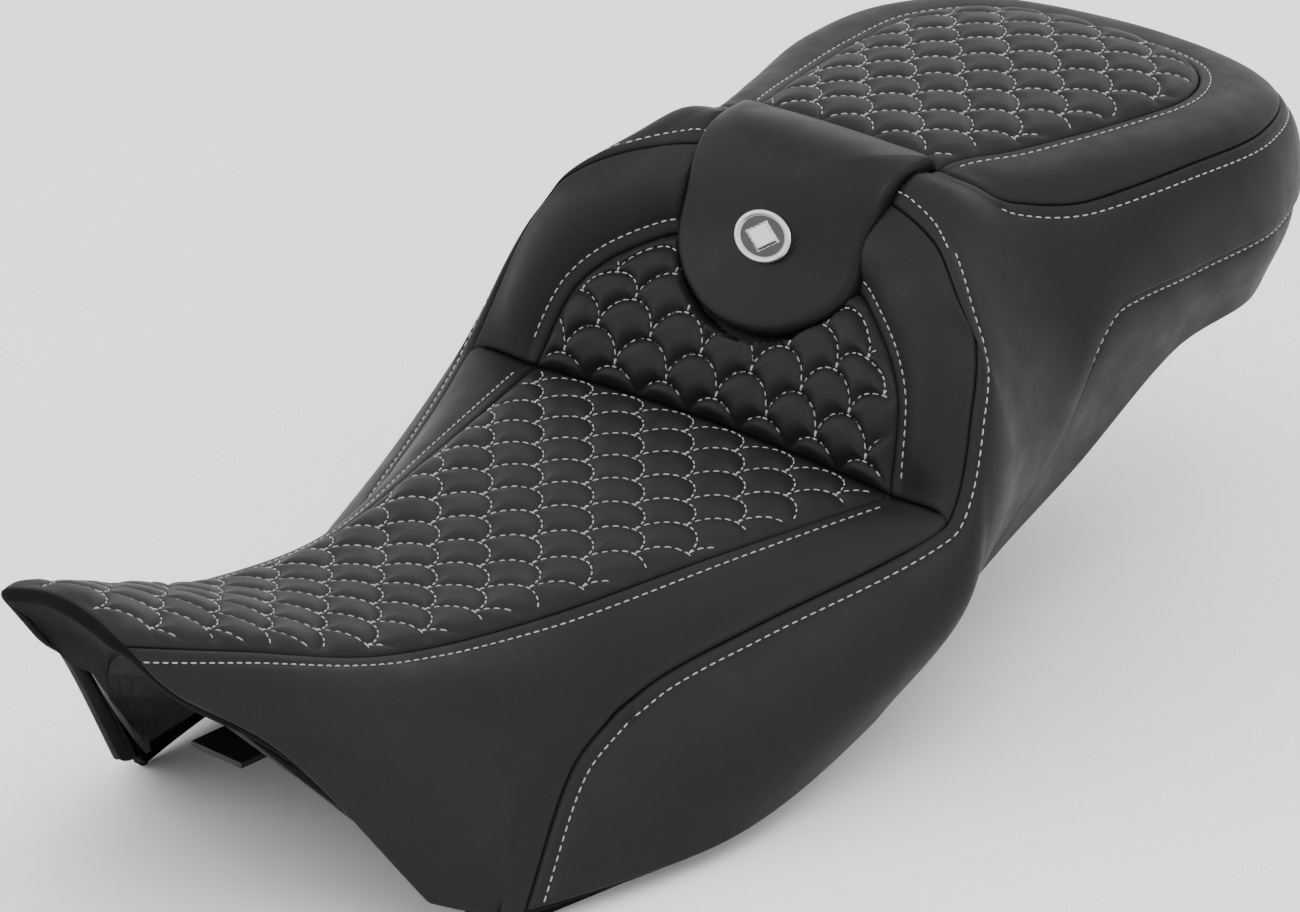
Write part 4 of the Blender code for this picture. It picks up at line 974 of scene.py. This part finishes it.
class PassengerSkirts(bpy.types.Operator):
    """Lower panels under the passenger pad"""

    bl_idname = "seat.passenger_skirts"
    bl_label = "Passenger skirts"

    def execute(self, context):
        look_of = context.scene.seat_look
        patch = Patch.ruled(SKIRT_TOP, [(u, 5) for u, v in SKIRT_TOP], look_of.plain_cell)
        radius = look_of.seam_radius
        offset = look_of.topstitch_offset * 0.6
        cover = pair_of_covers("skirt", "passenger_skirt_panel", patch, "vinyl",
                               sides={"first": radius, "end": TAIL_EDGE, "last": OPEN_EDGE},
                               swell=0.0020, reach=0.012, topstitched=[("first", offset)])
        seam_stitches("skirt_stitches", [cover.line("first", offset)], look_of)
        return {"FINISHED"}


def hem_path():
    """Points evenly along the hem (across the nose, back along the left, forward along the right), the
    direction in which the cover runs out there, its normal, and the nose's and the knees' shares."""
    nose = np.stack([np.zeros(120), np.linspace(-HEM, HEM, 121)[:-1]], axis=1)
    left = np.stack([np.linspace(0, TAIL, 401)[:-1], np.full(400, HEM)], axis=1)
    right = np.stack([np.linspace(TAIL, 0, 401)[:-1], np.full(400, -HEM)], axis=1)
    places = np.concatenate([nose, left, right])
    u, v = places[:, 0], places[:, 1]
    edge, facing = surface(u, v), normal(np.minimum(u, TAIL - 0.1), v)
    inner = places * [1, 0.98] + np.stack([(abs(v) < HEM) * 0.1, np.zeros(len(u))], 1)
    outward = unit(edge - surface(inner[:, 0], inner[:, 1]))
    nose_share = np.exp(-(u / 0.25) ** 2) * (1 - smoothstep(1.3, 2.6, abs(v)))
    knee_share = np.exp(-((u - KNEE_STATION) / 1.2) ** 2) * (abs(v) == HEM)
    path = np.concatenate([edge, outward, facing, nose_share[:, None], knee_share[:, None]], axis=1)
    path = np.concatenate([path, path[:1]])
    reach = reach_of(path[:, :3])
    even = np.linspace(0, reach[-1], int(reach[-1] / 0.003))[:-1]
    path = np.stack([np.interp(even, reach, column) for column in path.T], axis=1)
    soft = eased(path[:, 3:], 40)
    return path[:, :3], unit(soft[:, :3]), unit(soft[:, 3:6]), soft[:, 6:7], soft[:, 7:8]


def hem_rings(edge, outward, facing, nose, knee):
    """Sections of the turned-under edge: a half round lip, then a fold that runs under the seat by its tuck.
    The fold leans back under the nose and hangs lower at the knees."""
    turn = np.linspace(0, math.pi, 9)
    lip = np.stack([np.sin(turn) * HEM_DROP, np.cos(turn) * HEM_ROUND - HEM_ROUND - 0.001], axis=1)
    lip = np.concatenate([[[-0.0009, -0.0010]], lip])
    fold = np.array([[-0.0012, -0.6], [-0.0020, -1.0], [-0.0034, -1.0], [-0.0028, -0.6]])
    upper = np.array([[-0.0030, -0.0060], [-0.0030, -0.0034]])
    tuck = HEM_TUCK + NOSE_TUCK * nose
    every = np.ones_like(nose)
    along = np.concatenate([every * lip[:, 0], fold[:, 0] + NOSE_LEAN * nose * tuck * fold[:, 1],
                            every * upper[:, 0]], axis=1)
    across = np.concatenate([every * lip[:, 1], fold[:, 1] * tuck, every * upper[:, 1]], axis=1)
    sag = np.concatenate([np.zeros(len(lip) - 1), [0.35, 0.9, 1.0, 1.0, 0.9, 0.3, 0.0]]) * knee * KNEE_SAG
    rings = edge[:, None] + outward[:, None] * along[..., None] + facing[:, None] * across[..., None]
    rings[..., 2] -= sag
    return rings


class HemBinding(bpy.types.Operator):
    """Edge of the cover, turned under the pan all the way round"""

    bl_idname = "seat.hem_binding"
    bl_label = "Hem binding"

    def execute(self, context):
        rings = hem_rings(*hem_path())
        count, around = rings.shape[:2]
        i, j = np.meshgrid(np.arange(count), np.arange(around), indexing="ij")
        after, beside = (i + 1) % count, (j + 1) % around
        corners = (i * around + j, i * around + beside, after * around + beside, after * around + j)
        quads = np.stack([corner.ravel() for corner in corners], axis=1)
        # Its near-black finish is painted shade under the seat's edge. The wide fold under the nose carries
        # that dark tone across the opening there.
        piece_from("hem_binding", rings.reshape(-1, 3), [quads], "binding", "seat")
        return {"FINISHED"}


class Flap(bpy.types.Operator):
    """Lift-up flap over the backrest socket, with its lining"""

    bl_idname = "seat.flap"
    bl_label = "Flap"

    def execute(self, context):
        outer = [(share, flap_face) for share in FLAP_SHARES]
        outer += [(1.0, -0.001), (1.0, -0.0028), (0.996, -FLAP_SKIRT)]
        inner = [(0.965, -FLAP_SKIRT), (0.955, -0.001)]
        inner += [(share, lambda s, gap: flap_face(s, gap) - FLAP_SKIN) for share in FLAP_SHARES[::-3][3:]]
        rings = tongue_rings(outer + inner)
        piece = ring_solid("flap_upholstery", rings, "flap_vinyl", "flap", ("flap_cover",))
        edge = [(0.0, -0.0040), (0.5, -0.0040), (0.9, -0.0040), (0.935, -0.0038), (0.945, -0.0033),
                (0.945, -0.0027), (0.9, -0.0024), (0.5, -0.0024), (0.0, -0.0024)]
        ring_solid("flap_lining_cloth", tongue_rings(edge[::-1]), "lining", "flap", ("flap_lining",))
        return {"FINISHED"}


class Emblem(bpy.types.Operator):
    """Oval badge with a raised rim and a plain diamond on a dark enamel ground"""

    bl_idname = "seat.emblem"
    bl_label = "Emblem"

    def execute(self, context):
        place = np.array([BADGE_STATION]), np.zeros(1)
        base, facing = surface(*place)[0], normal(*place)[0]
        across = np.array([1.0, 0.0, 0.0])
        upward = np.cross(facing, across)
        share = np.concatenate([[0], np.linspace(0.05, 0.78, 18),
                                [0.80, 0.83, 0.87, 0.91, 0.95, 0.98, 1.0, 1.0]])
        turn = np.linspace(0, 2 * math.pi, 97)[:-1]
        rim = np.interp(share, [0, 0.79, 0.84, 0.88, 0.93, 0.97, 1.0], [0, 0, 0.75, 1, 1, 0.8, 0.2])
        rim = rim[:, None] * BADGE_RIM
        x, y = (np.outer(share, wave) * half for wave, half in zip((np.cos(turn), np.sin(turn)), BADGE_HALF))
        inside = 1 - abs(x) / DIAMOND_HALF[0] - abs(y) / DIAMOND_HALF[1]
        diamond = smoothstep(0.0, 0.16, inside) * BADGE_DIAMOND
        height = BADGE_PLATE + rim + diamond
        height[-1] = -BADGE_PLATE
        rings = base + (facing * (FLAP_CROWN + 0.0002 + height[..., None]) + across * x[..., None]
                        + upward * y[..., None])
        foot = np.repeat((base + facing * (FLAP_CROWN - 0.001))[None, None], len(turn), axis=1)
        piece = ring_solid("oval_badge", np.concatenate([rings, foot]), "badge", "flap", ("flap_emblem",),
                           sharp=35)
        raised = (rim + diamond)[1:] > 0.00006
        ground = ~(raised[:-1] | raised[1:])
        ground = ground & np.roll(ground, -1, axis=1)
        index = np.zeros(len(piece.data.polygons), dtype=np.int32)
        index[:ground.size] = ground.ravel()
        piece.data.materials.append(look("enamel"))
        piece.data.polygons.foreach_set("material_index", index)
        return {"FINISHED"}


class Hardware(bpy.types.Operator):
    """Finishes of the pieces that are shown as they were made"""

    bl_idname = "seat.hardware"
    bl_label = "Hardware finishes"

    finishes = {
        "moulded_plastic": ("seat_pan", "flap_board"),
        "foam": ("rider_foam", "passenger_foam", "bolster_foam", "flap_foam"),
        "gel": ("rider_gel_pad", "passenger_gel_pad"),
        "black_steel": ("backrest_receiver", "front_hook_bracket", "rear_mount_tab"),
        "rubber": ("frame_pad", "front_bumper_left", "front_bumper_right", "rear_bumper_left",
                   "rear_bumper_right"),
        "closure_tape": ("flap_closure_loop", "seat_closure_hook"),
        "zinc_steel": ("front_bracket_rivet_left", "front_bracket_rivet_right", "rear_tab_rivet_left",
                       "rear_tab_rivet_right", "receiver_bolt_left", "receiver_bolt_right"),
    }

    def execute(self, context):
        nodes = {thing["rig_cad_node"]: thing for thing in context.scene.objects if "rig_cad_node" in thing}
        for slot, names in self.finishes.items():
            for holder in (holder for name in names for holder in nodes[name].material_slots):
                holder.material = look(slot)
        return {"FINISHED"}


class Stage(bpy.types.Operator):
    """Pale floor, soft studio light and the camera"""

    bl_idname = "seat.stage"
    bl_label = "Stage"

    def execute(self, context):
        scene = context.scene
        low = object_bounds()[0]
        material = finish_of("pale_floor", (0.93, 0.93, 0.93), spread=0.01, rough=(0.85, 0.9), blotch=2.0,
                             specular=0.1)
        mesh = bpy.data.meshes.new("floor")
        wide = 8.0
        mesh.from_pydata([(-wide, -wide, low[2]), (wide, -wide, low[2]), (wide, wide, low[2]),
                          (-wide, wide, low[2])], [], [(0, 1, 2, 3)])
        mesh.materials.append(material)
        floor = bpy.data.objects.new("floor", mesh)
        scene.collection.objects.link(floor)
        floor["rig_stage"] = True
        world = scene.world or bpy.data.worlds.new("studio")
        scene.world = world
        world.use_nodes = True
        world.node_tree.nodes["Background"].inputs["Color"].default_value = (1, 1, 1, 1)
        world.node_tree.nodes["Background"].inputs["Strength"].default_value = 1.6
        for name, place, size, power in (("key", (1.4, -1.0, 2.8), 2.0, 50),
                                         ("fill", (-2.2, -1.8, 1.8), 2.4, 25),
                                         ("back", (-0.6, 2.4, 2.2), 2.0, 18)):
            light = bpy.data.lights.new(name, "AREA")
            light.size, light.energy = size, power
            lamp = bpy.data.objects.new(name, light)
            lamp.location = place
            lamp.rotation_euler = (-Vector(place)).to_track_quat("-Z", "Y").to_euler()
            scene.collection.objects.link(lamp)
            lamp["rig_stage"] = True
        azimuth, elevation, distance = math.radians(42.49), math.radians(24.0), 2.881
        back = Vector((math.sin(azimuth) * math.cos(elevation), -math.cos(azimuth) * math.cos(elevation),
                       math.sin(elevation)))
        camera = bpy.data.objects.new("camera", bpy.data.cameras.new("camera"))
        camera.data.lens, camera.data.sensor_width, camera.data.sensor_fit = 150.9, 36.0, "HORIZONTAL"
        camera.location = Vector((0, -0.039, 0.080)) + back * distance
        camera.rotation_euler = (-back).to_track_quat("-Z", "Y").to_euler()
        scene.collection.objects.link(camera)
        scene.camera = camera
        return {"FINISHED"}


STEPS = (RiderQuilt, BackrestQuilt, BackrestRoll, PassengerQuilt, PassengerBorder, RiderSides, WrapPanels,
         PassengerSkirts, HemBinding, Flap, Emblem, Hardware, Stage)


class SeatPanel(bpy.types.Panel):
    """Lists the steps and the sizes"""

    bl_idname = "VIEW3D_PT_seat"
    bl_label = "Touring seat"
    bl_space_type = "VIEW_3D"
    bl_region_type = "UI"
    bl_category = "Seat"

    def draw(self, context):
        for step in STEPS:
            self.layout.operator(step.bl_idname)
        for name in SeatLook.__annotations__:
            self.layout.prop(context.scene.seat_look, name)


def register():
    for item in (SeatLook, *STEPS, SeatPanel):
        bpy.utils.register_class(item)
    bpy.types.Scene.seat_look = bpy.props.PointerProperty(type=SeatLook)


def unregister():
    del bpy.types.Scene.seat_look
    for item in reversed((SeatLook, *STEPS, SeatPanel)):
        bpy.utils.unregister_class(item)


def main():
    """Make every piece in order."""
    register()
    for step in STEPS:
        area, name = step.bl_idname.split(".")
        result = getattr(getattr(bpy.ops, area), name)()
        if result != {"FINISHED"}:
            raise RuntimeError(f"{step.bl_label} didn't finish")


if __name__ == "__main__":
    main()
